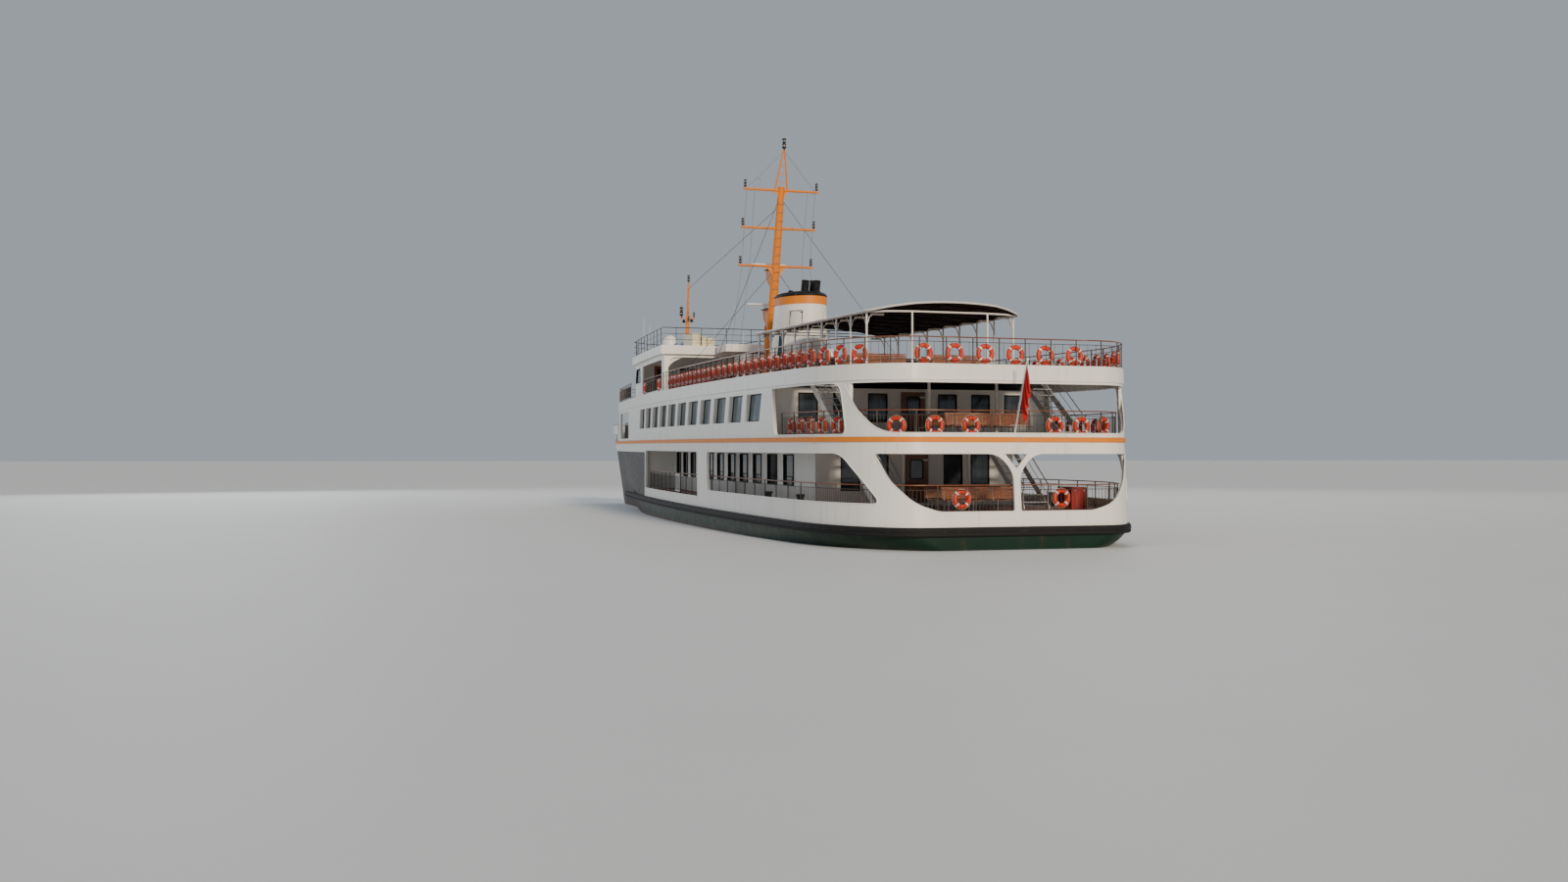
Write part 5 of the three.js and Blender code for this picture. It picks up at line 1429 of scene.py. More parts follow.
def scanner_bar(name, height, reach):
    """A radar's turning bar, as long as the mast behind it allows."""
    x = mast_at(height) + reach
    half = reach - mast_radius(height) - SCANNER_CLEAR
    scanner = Shape()
    scanner.lathe((x, 0, height - 0.098), SPINDLE, 20)
    rings = []
    ends = ((0, 0.4), (0.02, 0.8), (0.08, 1))
    for y, s in [(a - half, s) for a, s in ends] + [(half - a, s) for a, s in reversed(ends)]:
        rings.append([(x + 0.085 * s * cos(turn), y, height + 0.02 + 0.055 * s * sin(turn))
                      for turn in full_turn(12)])
    scanner.loft(rings)
    scanner.mark = 1
    scanner.box((x + 0.079, x + 0.088), (0.1 - half, half - 0.1), (height - 0.005, height + 0.045))
    piece("radar_bar_" + name, scanner, ["white_clean", "grey"], "radar_scanner_" + name,
          ["radar_scanner_" + name], 50)


def make_mast():
    """Finishes: 0 paint, 1 black, 2 lens, 3 bare steel, 4 white."""
    pole = Shape()
    mast_pole(pole)
    for row in YARDS:
        yard(pole, *row)
    for _, height, reach in RADARS:
        radar_bracket(pole, height, reach)
    topmast(pole)
    pole.mark = 0
    prop = mast_at(RADARS[1][1]) + RADARS[1][2] - 0.05
    pole.bar((prop, 0, TOP_DECK), (prop, 0, 10.6), 0.06, sides=14)
    pole.mark = 3
    for k in range(22):
        z = TOP_DECK + 0.6 + k * 0.45
        x = mast_at(z) - mast_radius(z)
        rung = [(x + 0.02, 0.16, z), (x - 0.1, 0.16, z), (x - 0.1, -0.16, z), (x + 0.02, -0.16, z)]
        pole.tube(rung, 0.011, 5)
    wind_gauge(pole, mast_at(YARDS[-1][0]), 1.2, 17.75, 18.25)
    piece("mast_tower", pole, ["mast_orange", "black", "lens", "galvanised", "white_clean"],
          replaces=["mast"], smooth=40)
    for row in RADARS:
        scanner_bar(*row)


# Foremast, dome, aerials and floodlights on the wheelhouse roof
FOREMAST = {"x": 46.6, "top": 15.0, "lean": 0.5, "yard": 12.2}
DOME = [(0, 0), (0.2, 0), (0.22, 0.02), (0.16, 0.05), (0.16, 0.3), (0.3, 0.34), (0.39, 0.4), (0.415, 0.46),
        (0.42, 0.52), (0.42, 0.74), (0.4, 0.88), (0.34, 1.02), (0.24, 1.12), (0.12, 1.175), (0, 1.19)]
WHIPS = [
    # x, y, height
    (47.6, 2.2, 2.2), (46.4, 2.9, 2.6), (44.8, 3.3, 1.7), (47.6, -2.2, 2.2), (44.8, -3.3, 1.7),
]
WHIP_FOOT = [(0, 0), (0.05, 0), (0.05, 0.02), (0.03, 0.03), (0.03, 0.35), (0.012, 0.4)]
VENT = [(0, 0), (0.12, 0), (0.12, 0.35), (0.2, 0.37), (0.22, 0.42), (0.18, 0.5), (0, 0.54)]
FLOODLIGHTS = [(46.2, 1.2), (44.6, 0.9), (44.6, -1.6)]
VENTS = [(43.2, 0.4), (40.6, -1.2)]


def make_foremast():
    fore = Shape()
    x, low, top, lean = FOREMAST["x"], ROOF + SEAM, FOREMAST["top"], FOREMAST["lean"]
    size = hypot(lean, top - low)
    profile = [(0, 0), (0.24, 0), (0.24, 0.03), (0.15, 0.05), (0.14, 0.3), (0.12, 2.4), (0.085, 2.7),
               (0.06, size - 0.55), (0.06, size - 0.5), (0, size - 0.5)]
    turned(fore, (x, 0, low), (x - lean, 0, top), profile, 24)
    at, level = x - 0.25, FOREMAST["yard"]
    fore.tube([(at, -0.5, level), (at, 0.5, level)], 0.035, 10)
    fore.tube([(at, 0, level + 0.4), (at - 0.3, 0, level + 0.4)], 0.03, 8)
    lantern(fore, (at, 0.42, level + 0.04), 1.3)
    lantern(fore, (at, -0.42, level + 0.04), 0.7)
    lantern(fore, (at - 0.28, 0.0, level - 0.2), 0.6)
    lantern(fore, (x - 0.47, 0, top - 0.52), 0.95)
    fore.mark = 1
    for y, under in ((0.26, 11.9), (-0.26, 11.95)):
        fore.lathe((at, y, under), [(0, 0), (0.08, 0), (0.1, 0.05), (0.1, 0.16), (0.06, 0.2), (0, 0.2)], 12)
    fore.mark = 3
    for k in range(12):
        h = low + 0.4 + k * 0.4
        a = x - lean * (h - low) / (top - low)
        rung = [(a - back, y, h) for back, y in ((0.1, 0.11), (0.18, 0.11), (0.18, -0.11), (0.1, -0.11))]
        fore.tube(rung, 0.009, 5)
    piece("foremast_tower", fore, ["mast_orange", "black", "lens", "galvanised"],
          replaces=["foremast"], smooth=40)


def floodlight(gear, x, y):
    """A lamp box in its fork on a short post, facing aft."""
    gear.mark = 1
    gear.bar((x, y, ROOF), (x, y, ROOF + 0.28), 0.03, sides=8)
    fork = [(-0.2, 0.3), (-0.2, 0.46), (0.2, 0.46), (0.2, 0.3)]
    gear.tube([(x, y + b, ROOF + up) for b, up in fork], 0.014, 6)
    gear.prism(oblong(y - 0.17, y + 0.17, ROOF + 0.28, ROOF + 0.56, 0.03), facing_aft(x), -0.1, 0.08)
    gear.mark = 2
    gear.prism(oblong(y - 0.14, y + 0.14, ROOF + 0.31, ROOF + 0.53, 0), facing_aft(x), -0.112, -0.1)


def make_roof_gear():
    make_foremast()
    dome = Shape()
    dome.lathe((42.5, 2.2, ROOF + SEAM), DOME, 36)
    piece("dome_shell", dome, ["white_clean"], replaces=["satellite_dome"], smooth=50)

    gear = Shape()
    for x, y, tall in WHIPS:
        gear.lathe((x, y, ROOF), WHIP_FOOT + [(0.007, tall), (0, tall)], 8)
    for x, y in VENTS:
        gear.lathe((x, y, ROOF), VENT, 18)
    for x, y in FLOODLIGHTS:
        floodlight(gear, x, y)
    piece("roof_fittings", gear, ["white_clean", "cream", "lamp_clear"])


# Wheelhouse: walls with windows, wing openings, roof with its deep fascia
CAB = {"aft": 33.6, "bulkhead": 43.9, "shoulder": 47.0, "nose": 49.2, "inset": 0.12, "wall": 0.1,
       "eaves": 0.22, "chamfer": 0.8, "narrow": 0.9, "broad": 2.1}
CAB_BENDS = [36, 42]
WING_WAY = [[34.5, 7.12, 0.3], [43.2, 7.12, 0.3], [43.2, 8.85, 0.3], [34.5, 8.85, 0.3]]
CAB_GLASS = [[44.4, 7.9, 0.05], [47.0, 7.9, 0.05], [46.6, 8.8, 0.05], [44.4, 8.8, 0.05]]
AFT_WAY = [[-4.7, 7.05], [4.7, 7.05], [4.7, 8.95, 0.6], [-4.7, 8.95, 0.6]]
FRONT_WINDOWS = {"edges": [-2.6, -1.55, -0.45, 0.65, 1.7], "wide": 0.9, "levels": (7.95, 8.8)}
AFT_HEAD = 8.95
ROOF_UNDER = ROOF - 0.12


def cab_half(x):
    """Half the wheelhouse's width, straight between its stations."""
    stations = [CAB["aft"], *CAB_BENDS, CAB["shoulder"]]
    halves = [half_at(s, TOP_RAIL) - CAB["inset"] for s in stations]
    for a, b, p, q in zip(stations, stations[1:], halves, halves[1:]):
        if x <= b or b == stations[-1]:
            return p + (q - p) * (x - a) / (b - a)


def cab_loop(out=0.0):
    side = [(x, cab_half(x)) for x in (CAB["shoulder"], *CAB_BENDS[::-1], CAB["aft"])]
    port = [(CAB["nose"], CAB["narrow"]), (CAB["nose"] - CAB["chamfer"], CAB["broad"]), *side]
    return offset(both_sides(port), -out, True)


def cab_front(y):
    """The station of the wheelhouse's front wall at a distance off the middle."""
    corner = CAB["nose"] - CAB["chamfer"]
    bends = [(0, CAB["nose"]), (CAB["narrow"], CAB["nose"]), (CAB["broad"], corner),
             (cab_half(CAB["shoulder"]), CAB["shoulder"])]
    for (a, p), (b, q) in zip(bends, bends[1:]):
        if abs(y) < b:
            return p + (q - p) * (abs(y) - a) / (b - a)
    return CAB["shoulder"]


def on_cab(side):
    return lambda a, b, d: (a, side * (cab_half(a) - d), b)


def on_cab_front(a, b, d):
    return (cab_front(a) - d, a, b)


def make_cab_shell():
    shell, front, back = Shape(), Shape(), Shape()
    loop = cab_loop()
    wall(shell, loop, loop, TOP_DECK + SEAM, ROOF_UNDER - SEAM, CAB["wall"], True)
    for y in FRONT_WINDOWS["edges"]:
        front.box((47.3, 50), (y, y + FRONT_WINDOWS["wide"]), FRONT_WINDOWS["levels"])
    back.prism(rounded(AFT_WAY, 10), facing_aft(0), 33, 34.2)
    tools = [through(WING_WAY), through(CAB_GLASS, 3), front, back]
    piece("cab_plating", shell, ["white"], replaces=["wheelhouse"], cutters=tools)


def cab_window(trim, panes, outline, lay, border, inset, step=0):
    """A rubber frame with its glass; a step lets both follow a bent wall."""
    inner = offset(outline, inset, True)
    if step:
        outline, inner = fine(outline, step), fine(inner, step)
    trim.mark = 1
    trim.ring(outline, -border, lay, -0.02, 0.12)
    panes.pane(inner, lay, 0.05)
    trim.mark = 0


def make_cab_trim():
    trim, panes = Shape(), Shape()
    edge = cab_loop(CAB["eaves"])
    wall(trim, edge, edge, ROOF_LOW, ROOF_UNDER - SEAM, CAB["eaves"] + 0.05, True)
    bead = [(0.0, -0.01), (-0.012, -0.006), (-0.012, 0.006), (0.0, 0.01)]
    trim.sweep([(x, y, ROOF_LOW + 0.012) for x, y in edge], bead, True)
    for side in (1, -1):
        trim.rim(fine(rounded(WING_WAY), 0.6), on_cab(side))
        cab_window(trim, panes, rounded(CAB_GLASS, 3), on_cab(side), 0.06, 0.05)
        y, reach, drop = cab_half(34) - CAB["wall"], 1.35, 1.0
        web = [(y, AFT_HEAD), (y - reach, AFT_HEAD), *hollow_corner(y, AFT_HEAD, -reach, drop),
               (y, AFT_HEAD - drop)]
        trim.prism([(side * a, b) for a, b in web], facing_aft(CAB["aft"] + 0.12), 0.0, 0.05)
    for y in FRONT_WINDOWS["edges"]:
        outline = oblong(y, y + FRONT_WINDOWS["wide"], *FRONT_WINDOWS["levels"], 0.06)
        cab_window(trim, panes, outline, on_cab_front, 0.05, 0.045, 0.3)
        trim.mark = 2
        wiper = [(cab_front(b) + 0.03, b, level) for b, level in ((y + 0.45, 8.78), (y + 0.3, 8.2))]
        trim.bar(*wiper, 0.008, sides=5)
        trim.mark = 0
    trim.rim(rounded(AFT_WAY, 10), facing_aft(CAB["aft"]))
    piece("cab_trim", trim, ["white", "rubber", "galvanised"])
    piece("cab_glass", panes, ["glass"])


def make_roof():
    roof = Shape()
    outline = cab_loop(CAB["eaves"])
    roof.loft([[(x, y, z) for x, y in offset(outline, grow, True)] for z, grow in
               ((ROOF_UNDER, 0.0), (ROOF - 0.03, 0.0), (ROOF - 0.01, 0.008), (ROOF, 0.03))])
    roof.box((31.2, 34), (-2, 2), (ROOF_UNDER, ROOF - 0.002))
    roof.mark = 1
    roof.box((31.19, 33.0), (-2.02, 2.02), (ROOF_UNDER - 0.3, ROOF_UNDER))
    piece("roof_plate", roof, ["white", "white_clean"], replaces=["wheelhouse_roof"])

    rail = Shape()
    path = cab_loop(0.1)
    for level, radius in ((ROOF_RAIL, 0.021), (ROOF + 0.66, 0.012), (ROOF + 0.33, 0.012)):
        rail.tube([(x, y, level) for x, y in path], radius, 8, closed=True)
    for point, _ in along(path, 1.5, True):
        rail.bar((*point, ROOF), (*point, ROOF_RAIL), 0.018, sides=7)
        rail.lathe((*point, ROOF), [(0, 0), (0.05, 0), (0.05, 0.012), (0.02, 0.02), (0, 0.02)], 8)
    piece("roof_railing", rail, ["black"], replaces=["roof_rail"])


def wing_line(x, side):
    return (x, side * (cab_half(x) - 0.12))


def make_wings():
    """Rails and lifebuoys in the openings of the bridge wings."""
    paths = [[wing_line(x, side) for x in (34.55, 36, 42, 43.15)] for side in (1, -1)]
    rail_piece("wing_railing", railings(paths, TOP_DECK, TOP_RAIL, spacing=1.1, thin=0.36))
    rings = Shape()
    for side in (1, -1):
        for x in (35.4, 41.6):
            a, b = [Vector(wing_line(s, side)) for s in (x - 0.1, x + 0.1)]
            lifebuoy(rings, (a + b) / 2, (b - a).normalized(), TOP_RAIL - 0.6, -side)
    buoy_piece("wing_lifebuoys", rings)


def make_wheelhouse():
    make_cab_shell()
    make_cab_trim()
    make_roof()
    make_wings()


def make_cab_bulkhead():
    """Panel seams, a window and fittings on the wheelhouse's aft bulkhead."""
    face = CAB["bulkhead"] - 0.05
    fit, panes, ring = Shape(), Shape(), Shape()
    for k in range(-4, 5):
        y = 0.62 * k
        if abs(abs(y) - 2.4) > 0.5:
            fit.box((face - 0.006, face + SEAM), (y - 0.008, y + 0.008), (TOP_DECK + 0.1, 9.0))
    fit.mark = 1
    fit.ring(oblong(-1.2, 1.2, 7.95, 8.8), -0.05, facing_aft(face), -0.02, 0.06)
    panes.pane(oblong(-1.16, 1.16, 7.99, 8.76), facing_aft(face), 0.03)
    fit.mark = 2
    fit.box((face - 0.1, face), (1.45, 1.75), (8.25, 8.6))
    fit.box((face - 0.06, face), (-1.8, -1.5), (7.9, 8.5))
    lifebuoy(ring, Vector((face + 0.02, 1.0)), Vector((0, 1)), 8.5)
    piece("cab_bulkhead_fittings", fit, ["white_clean", "rubber", "grey"])
    piece("cab_bulkhead_glass", panes, ["glass"])
    buoy_piece("cab_lifebuoy", ring)


# Crates and lockers with lids, ribs and handles
CHESTS = [
    # piece, span fore and aft, span across, floor, height, finish, slot, node
    ("fore_chest", (52.4, 53.8), (0.2, 1.4), TOP_DECK, 0.8, "white_clean", "white_paint", "fore_locker"),
    ("hose_chest", (4.4, 5.6), (-5.4, -4.7), MAIN_DECK, 0.9, "red", "orange_paint", "locker_main"),
]


def locker(shape, xs, ys, zs, ribs=0.6):
    (x0, x1), (y0, y1), (z0, z1) = xs, ys, zs
    eaves = z1 - 0.08
    outline = oblong(x0, x1, y0, y1, 0.04)
    shape.mark = 0
    for rings in (((0, z0), (0, eaves)), ((-0.018, eaves), (-0.018, z1 - 0.02), (0.02, z1))):
        shape.loft([[(x, y, z) for x, y in offset(outline, inward, True)] for inward, z in rings])
    for y in even(y0, y1, max(2, round((y1 - y0) / ribs)))[1:-1]:
        for side in ((x0 - 0.012, x0), (x1, x1 + 0.012)):
            shape.box(side, (y - 0.03, y + 0.03), (z0 + 0.04, eaves - 0.04))
    shape.mark = 1
    handle = [(0, -0.05), (0.03, -0.05), (0.03, 0.05), (0, 0.05)]
    for y in (y0 + 0.2 * (y1 - y0), y0 + 0.8 * (y1 - y0)):
        shape.box((x0 - 0.018, x0), (y - 0.025, y + 0.025), (eaves - 0.1, eaves + 0.02))
        shape.tube([(x1 + a, y + b, z1 - 0.3) for a, b in handle], 0.008, 5)


def make_mast_house():
    house = Shape()
    aft = 30.9
    locker(house, (aft, 32.6), (-1.1, 1.1), (TOP_DECK + SEAM, TOP_DECK + 2.1), ribs=0.7)
    house.mark = 0
    door = oblong(-0.35, 0.35, TOP_DECK + 0.2, TOP_DECK + 1.85, 0.06)
    house.ring(door, 0.03, facing_aft(aft), -0.02, 0.0)
    house.mark = 1
    house.bar((aft - 0.04, 0.26, TOP_DECK + 1.0), (aft - 0.04, 0.26, TOP_DECK + 1.15), 0.014, sides=6)
    house.mark = 2
    for k in range(6):
        z = TOP_DECK + 1.35 + 0.07 * k
        for ends in ((-0.9, -0.5), (0.5, 0.9)):
            house.loft([[(aft, y, z), (aft - 0.028, y, z - 0.02), (aft, y, z + 0.03)] for y in ends])
    piece("mast_house", house, ["white_clean", "galvanised", "grey"], replaces=["mast_locker"],
          bevel=0.01)


def make_lockers():
    crates = Shape()
    for y0, y1, tall in ((1.9, 2.3, 0.5), (2.34, 2.66, 0.58), (2.7, 3.2, 0.75)):
        locker(crates, (33.9, 35.8), (y0, y1), (ROOF + SEAM, ROOF + tall), ribs=0.5)
    piece("roof_crates", crates, ["cream", "galvanised"], replaces=["roof_lockers"],
          bevel=0.012)
    make_mast_house()
    for name, xs, ys, floor, tall, finish, slot, node in CHESTS:
        chest = Shape()
        locker(chest, xs, ys, (floor + SEAM, floor + tall))
        piece(name, chest, [finish, "galvanised"], replaces=[node], bevel=0.01)


# Awning: cloth over a frame of posts and bows, with short lamps under it
AWNING = {"aft": 5.7, "fore": 21.5, "half": 3.5, "edge": 9.5, "ridge": 9.9, "line": 3.35, "tube": 0.04}
AWNING_POSTS = [7.0, 8.8, 10.5, 12.3, 14.1, 15.9, 17.6, 19.4, 21.2]
AWNING_SAG = 0.035
AWNING_THICK = 0.02


def awning_level(u):
    return AWNING["edge"] + (AWNING["ridge"] - AWNING["edge"]) * (1 - u * u)


def awning_half(x):
    """The awning's half width, drawn in round its aft end."""
    a = min(1.0, max(0.0, (x - AWNING["aft"]) / 1.3))
    return AWNING["half"] * (0.55 + 0.45 * sin(a * pi / 2))


def awning_post(posts, x, y, side, low):
    """A post with its foot, knee and strut, and a lamp beside its head."""
    posts.mark = 0
    posts.bar((x, y, TOP_DECK), (x, y, low), 0.042, sides=12)
    posts.lathe((x, y, TOP_DECK), [(0, 0), (0.1, 0), (0.1, 0.015), (0.05, 0.03), (0, 0.03)], 12)
    posts.tube([(x, y - side * b, low + up) for b, up in ((0, -0.62), (0.12, -0.2), (0.5, 0.01))], 0.018, 7)
    posts.bar((x + 0.03, y, low - 0.55), (x + 0.5, y, low - 0.02), 0.014, sides=6)
    posts.mark = 1
    tray = [(0.2, -0.13), (0.75, -0.13), (0.75, -0.05), (0.2, -0.05)]
    posts.prism(rounded([[y - side * b, low + up, 0.02] for b, up in tray], 2), facing_aft(x), -0.07, 0.07)


def make_awning_frame():
    aft, fore, line, tube = AWNING["aft"], AWNING["fore"], AWNING["line"], AWNING["tube"]
    low = awning_level(line / AWNING["half"]) - 0.05 - tube - SEAM
    end = aft + 0.4
    posts = Shape()
    posts.bar((end, -1.6, low), (end, 1.6, low), tube, sides=10)
    for side in (1, -1):
        posts.mark = 0
        rail = [(end, 1.6), (aft + 0.6, 2.6), (aft + 1.1, line), (fore - 0.1, line)]
        posts.tube([(x, side * y, low) for x, y in rail], tube, 10)
        posts.bar((end, side * 1.7, TOP_DECK), (end, side * 1.7, low), tube, sides=10)
        for x in AWNING_POSTS:
            awning_post(posts, x, side * line, side, low)
    # The bows, cross bars and ridge bars under the cloth are black: painted shade under the awning.
    posts.mark = 2
    curve = [(y, min(awning_level(y / AWNING["half"]) - 0.085, low + 0.4)) for y in even(-line, line, 16)]
    for x in AWNING_POSTS:
        posts.tube([(x, y, z) for y, z in curve], 0.028, 8)
        posts.bar((x, -line, low), (x, line, low), 0.022, sides=7)
    for y in (-1.7, 0, 1.7):
        z = awning_level(y / AWNING["half"]) - 0.105
        posts.bar((aft + 0.45, y, z), (fore - 0.1, y, z), 0.022, sides=7)
    piece("awning_posts", posts, ["white_clean", "lamp_clear", "black"],
          replaces=["awning_frame"])


def awning_point(x, u):
    """A point of the cloth: u runs from -1 to 1 across it. It sags between its bows."""
    y = u * awning_half(x)
    gap = min(abs(x - bow) for bow in (*AWNING_POSTS, AWNING["fore"]))
    sag = AWNING_SAG * min(1.0, gap / 0.85) ** 1.3 * (1 - u * u * 0.6)
    ripple = 0.006 * sin(x * 9 + 3 * u) * abs(u) ** 6
    return (x, y, awning_level(y / AWNING["half"]) - sag + ripple)


def make_awning():
    make_awning_frame()
    sheet, hem = Shape(), Shape()
    steps, around = 66, 28
    run = AWNING["fore"] - AWNING["aft"]
    xs = [AWNING["aft"] + run * part ** 1.15 for part in even(0, 1, steps)]
    us = even(-1, 1, around)
    upper = [awning_point(x, u) for x in xs for u in us]
    faces = grid(steps, around)
    sheet.add(upper, faces)
    # The underside sheet takes a near-black finish: painted shade under the awning.
    sheet.mark = 1
    sheet.add([(x, y, z - AWNING_THICK) for x, y, z in upper], [face[::-1] for face in faces])
    made = piece("awning_sheet", sheet, ["awning_cloth", "awning_underside_painted_shade"], replaces=["awning"],
                 smooth=70)
    rim = [(x, 1) for x in xs] + [(xs[-1], u) for u in us[::-1][1:]]
    rim += [(x, -1) for x in xs[::-1][1:]] + [(xs[0], u) for u in us[1:-1]]
    edge = [awning_point(x, u) for x, u in rim]
    hem.tube([(x, y, z - 0.035) for x, y, z in edge], 0.03, 8, closed=True, squash=1.4)
    border = piece("awning_hem", hem, ["awning_cloth"], smooth=60)


# Flagstaff with a truck, cleats and halyard, and the flag hanging in folds
FLAG = {"top": 7.1, "low": 5.95, "rows": 72, "columns": 60, "thick": 0.068}
STAFF = {"foot": (0.36, 4.32), "head": (-0.75, 7.2), "radius": 0.035}
TRUCK = [(0, 0), (0.04, 0), (0.05, 0.03), (0.04, 0.07), (0, 0.09)]


def staff_at(z):
    (x0, z0), (x1, z1) = STAFF["foot"], STAFF["head"]
    return x0 + (x1 - x0) * (z - z0) / (z1 - z0)


def make_staff():
    staff = Shape()
    x, z = STAFF["head"]
    low = STERN_SILL + SEAM
    staff.bar((staff_at(low), 0, low), (x, 0, z), STAFF["radius"], 0.028, sides=16)
    turned(staff, (x, 0, z - 0.06), (x - 0.02, 0, z + 0.04), TRUCK, 14)
    staff.mark = 1
    for level in (5.2, 5.5):
        cleat = staff_at(level) + 0.03
        staff.bar((cleat, -0.06, level), (cleat, 0.06, level), 0.01, sides=6)
    for y in (-0.045, 0.045):
        staff.tube([(staff_at(level) + 0.02, y, level) for level in (5.2, 5.8, 6.5, 7.1)], 0.005, 4)
    piece("staff_pole", staff, ["white_clean", "rope"], replaces=["flagstaff"])


def flag_point(u, v):
    """A point of the hanging cloth: u runs from the hoist to the fly, v down the hoist."""
    hoist = FLAG["top"] + (FLAG["low"] - FLAG["top"]) * v
    gather = u ** 0.8
    drop = 1.28 * u * (1 - 0.16 * v) + 0.12 * sin(u * 3) * v
    spread = 0.10 + 0.14 * gather
    fold = sin(v * 8 * pi + 2.2 * u + 0.6) * 0.058 * min(1, 3.2 * u)
    fold += sin(v * 2.6 * pi - 3 * u) * 0.012 * gather
    x = staff_at(hoist) - STAFF["radius"] * 1.06
    x -= spread * u * (0.42 + 0.5 * v) + 0.05 * sin(v * 2.6 * pi + 1.2) * gather
    z = hoist - drop * (1 - 0.1 * cos(v * 3 * pi) * gather)
    return (x, max(-FLAG["thick"], min(FLAG["thick"], fold)), z)


def make_flag():
    make_staff()
    flag = Shape()
    points = [flag_point(u, v) for u in even(0, 1, FLAG["columns"]) for v in even(0, 1, FLAG["rows"])]
    flag.add(points, grid(FLAG["columns"], FLAG["rows"]))
    made = piece("flag_cloth", flag, ["flag_red"], replaces=["flag"], smooth=80)


# Bow bulwark and windlass
BULWARK_TOP = 5.5
CAPSTAN = [(0, 0), (0.26, 0), (0.26, 0.04), (0.14, 0.06), (0.13, 0.4), (0.2, 0.44), (0.2, 0.5), (0, 0.52)]


def make_bow():
    low, high = UPPER_DECK + SEAM, BULWARK_TOP
    port = port_path(low, SHELL_FORE + 0.02, DECK_FORE - 0.05)[::-1]
    foot = both_ways(port)
    flared = both_ways([(x + (0.6 if x > 65 else 0.12), y + 0.12) for x, y in port])
    bow = Shape()
    wall(bow, foot, flared, low, high, 0.1)
    for (x, y), (a, b) in list(zip(foot, flared))[2:-2]:
        inward = -1 if y > 0 else 1
        tip = y + inward * 0.45
        knee = [(x, y + inward * 0.1, low), (x, tip, low), (a, b + inward * 0.1, high - 0.03)]
        if abs(tip) > 0.15 and tip * y > 0:
            bow.loft([[(p + side, q, r) for p, q, r in knee] for side in (-0.012, 0.012)])
    bow.mark = 1
    cap = [(-0.04, -0.03), (-0.04, 0.0), (-0.02, 0.012), (0.12, 0.012), (0.14, 0.0), (0.14, -0.03)]
    bow.sweep([(x, y, high - 0.012) for x, y in flared], cap)
    piece("bow_plating", bow, ["white", "varnish"], replaces=["bow_bulwark"])

    gear = Shape()
    low, high = UPPER_DECK, UPPER_DECK + 0.66
    for y in (0.9, -0.9):
        gear.lathe((62.3, y, low), CAPSTAN, 20)
    gear.bar((61.2, -0.55, low + 0.4), (61.2, 0.55, low + 0.4), 0.2, sides=22)
    cheek = rounded([[60.9, low, 0.02], [61.5, low, 0.02], [61.4, high, 0.1], [61.0, high, 0.1]])
    for y in (-0.6, 0.0, 0.6):
        gear.prism(cheek, lengthwise, y - 0.03, y + 0.03)
    piece("windlass", gear, ["grey"], bevel=0.006)


def both_ways(port):
    """A port path going forward to aft, joined to its mirror image at the stem."""
    return [(x, -y) for x, y in port][::-1] + port


# Standing rigging: wire stays from the mast, signal lines between its yards
STAY = 0.014
LINE = 0.008


def make_rigging():
    wires = Shape()
    top, low = mast_at(17.2), mast_at(13.4)
    for side in (1, -1):
        wires.bar((top, side * 0.1, 17.2), (22.3, side * 5.7, BAND_TOP + 0.02), STAY, sides=6)
        wires.bar((low, side * 0.15, 13.4), (30.2, side * 5.6, TOP_DECK + 0.02), STAY, sides=6)
        for y in (1.95, 1.5):
            ends = [(mast_at(height), side * y, height - 0.06) for height, *_ in YARDS]
            wires.tube(ends[::-1] + [(mast_at(13.7) - 0.6, side * (y + 0.9), TOP_RAIL)], LINE, 5)
        peak = (mast_at(17.7) - 0.5, side * 0.04, 19.7)
        wires.bar(peak, (mast_at(17.7), side * 1.95, 17.72), LINE, sides=5)
    wires.bar((mast_at(16.9), 0, 16.9), (FOREMAST["x"] - 0.44, 0, 14.1), STAY, sides=6)
    piece("mast_stays", wires, ["wire"])


# Pillars under the decks aft, and the white bulkhead at the forecastle
PILLAR = {"radius": 0.065, "y": 1.5, "upper": 4.88, "main": 7.5}


def make_pillars():
    pillars, screen = Shape(), Shape()
    thin, wide = PILLAR["radius"], 0.12
    spans = ((PILLAR["upper"], UPPER_DECK, TOP_DECK - 0.14), (PILLAR["main"], MAIN_DECK, UPPER_LOW))
    for x, low, high in spans:
        tall = high - low
        profile = [(0, 0), (wide, 0), (wide, 0.02), (thin, 0.04), (thin, tall - 0.04), (wide, tall - 0.01),
                   (wide, tall - 0.002), (0, tall - 0.002)]
        for y in (PILLAR["y"], -PILLAR["y"]):
            pillars.lathe((x, y, low), profile, 16)
    piece("deck_pillars", pillars, ["white_clean"])
    half = half_at(FORECASTLE) - PLATE - 0.03
    screen.box((FORECASTLE - 0.06, FORECASTLE - 0.005), (-half, half), (MAIN_DECK + 0.01, UPPER_LOW - 0.01))
    for y in (3.4, -3.4):
        outline = oblong(y - 0.35, y + 0.35, MAIN_DECK + 0.2, MAIN_DECK + 2.05, 0.12)
        screen.ring(outline, 0.04, facing_aft(FORECASTLE - 0.06), -0.025, 0.0)
        screen.prism(outline, facing_aft(FORECASTLE - 0.06), -0.012, 0.0)
    piece("forecastle_screen", screen, ["white_clean"])


# Blue cover drawn over three bundles on the wheelhouse roof, lashed down with rope
COVER = {"from": 36.2, "to": 39.4, "low": 2.2, "high": 3.1, "tall": 0.5, "lumps": 3}


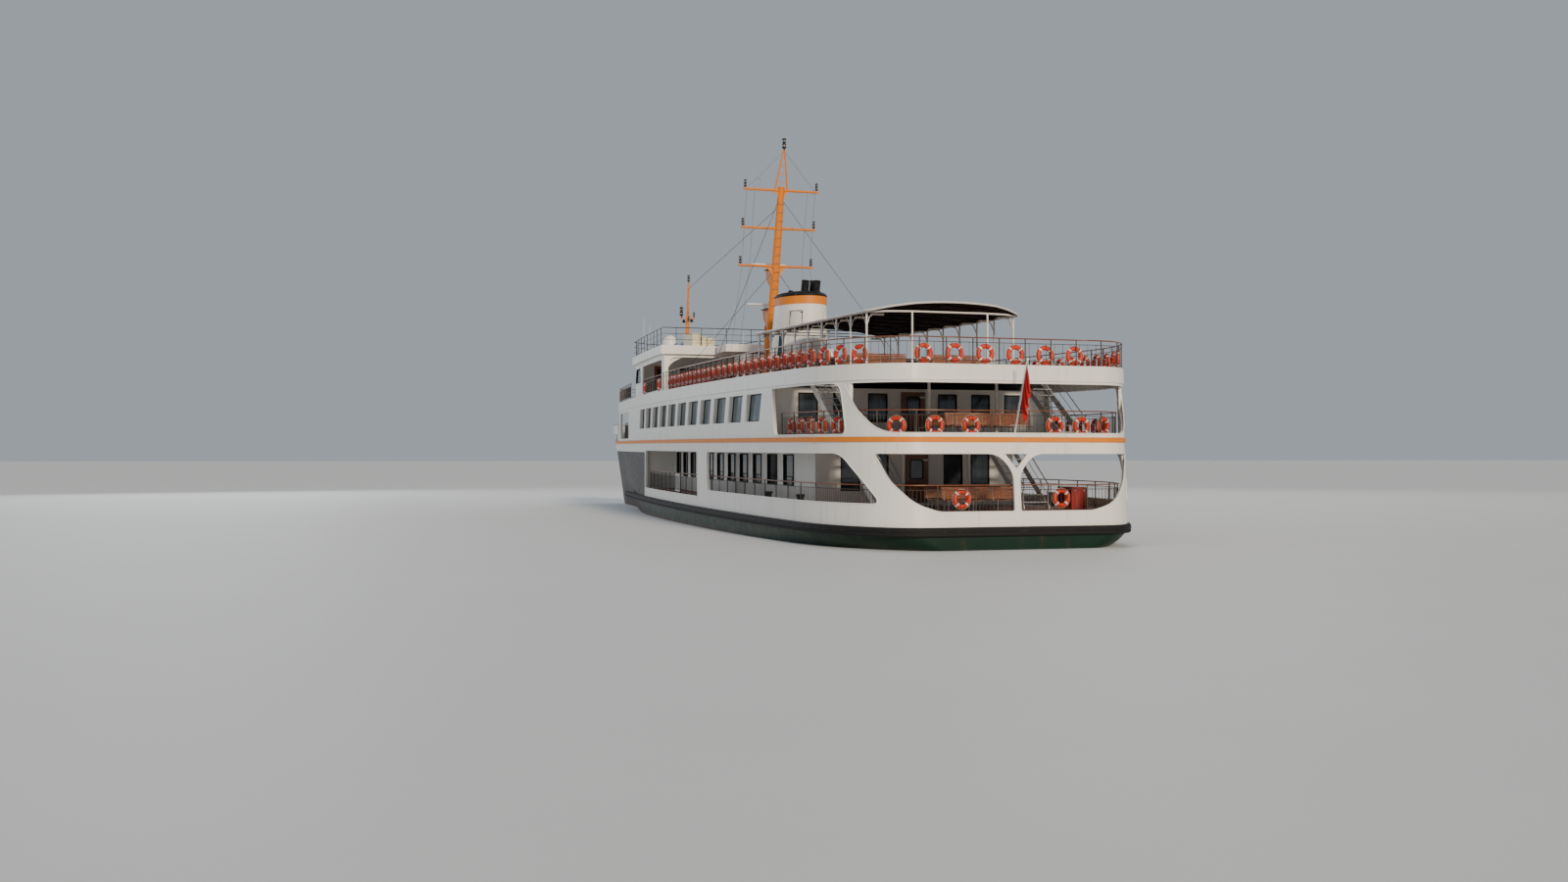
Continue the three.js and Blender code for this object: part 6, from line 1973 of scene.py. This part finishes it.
def cover_level(x, y):
    """Height of the cover over the roof: three soft lumps that fall to the roof at its rim."""
    part = (x - COVER["from"]) / (COVER["to"] - COVER["from"])
    across = (y - COVER["low"]) / (COVER["high"] - COVER["low"])
    lump = abs(sin(part * pi * COVER["lumps"])) ** 0.5
    ridge = max(0.0, sin(across * pi)) ** 0.42
    ends = min(1.0, 9 * part, 9 * (1 - part)) ** 0.6
    crease = 0.035 * sin(across * 19 + 4 * part) * sin(part * 23 + across * 5)
    return COVER["tall"] * (0.62 + 0.38 * lump) * ridge * ends * (1 + crease) + 0.004


def make_cover():
    cover, lashing = Shape(), Shape()
    steps, around = 120, 44
    points = []
    for x in even(COVER["from"], COVER["to"], steps):
        for turn in even(0, pi, around):
            t = -cos(turn)
            rim = max(0.0, abs(t) - 0.86) / 0.14
            y = COVER["low"] + (COVER["high"] - COVER["low"]) * (t + 1) / 2
            y += 0.018 * rim * sin(x * 11) - 0.03 * rim * (1 if t > 0 else -1)
            points.append((x, y, ROOF + 0.003 + cover_level(x, y)))
    cover.add(points, grid(steps, around))
    made = piece("bundle_cover", cover, ["cover_blue"], replaces=["roof_bundle"], smooth=80)
    for x in (36.75, 37.8, 38.85):
        ys = even(COVER["low"] + 0.04, COVER["high"] - 0.04, 24)
        lashing.tube([(x, y, ROOF + 0.012 + cover_level(x, y)) for y in ys], 0.012, 6)
    ropes = piece("bundle_lashing", lashing, ["rope"])


for make in (make_hull, make_running_gear, make_shells, make_decks, make_rails, make_lifebuoys, make_benches,
             make_stairs, make_glazing, make_doors, make_funnel, make_mast, make_roof_gear, make_wheelhouse,
             make_cab_bulkhead, make_lockers, make_awning, make_flag, make_bow, make_rigging, make_pillars,
             make_cover):
    make()

# Solids shown as they are
PLAIN = {
    "deck_and_ceiling": ["main_deck", "top_deck"],
    "white_clean": ["main_house", "upper_aft_bulkhead", "upper_fore_bulkhead", "cab_bulkhead"],
    "black": ["bollards_port", "bollards_starboard"],
    "galvanised": ["shaft_port", "shaft_starboard", "boarding_gate_port", "boarding_gate_starboard"],
    "varnish": ["main_aft_door", "upper_aft_door", "cab_door_port", "cab_door_starboard"],
}
for finish, names in PLAIN.items():
    for name in names:
        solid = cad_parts[name]
        solid.data.materials.clear()
        solid.data.materials.append(FINISHES[finish])
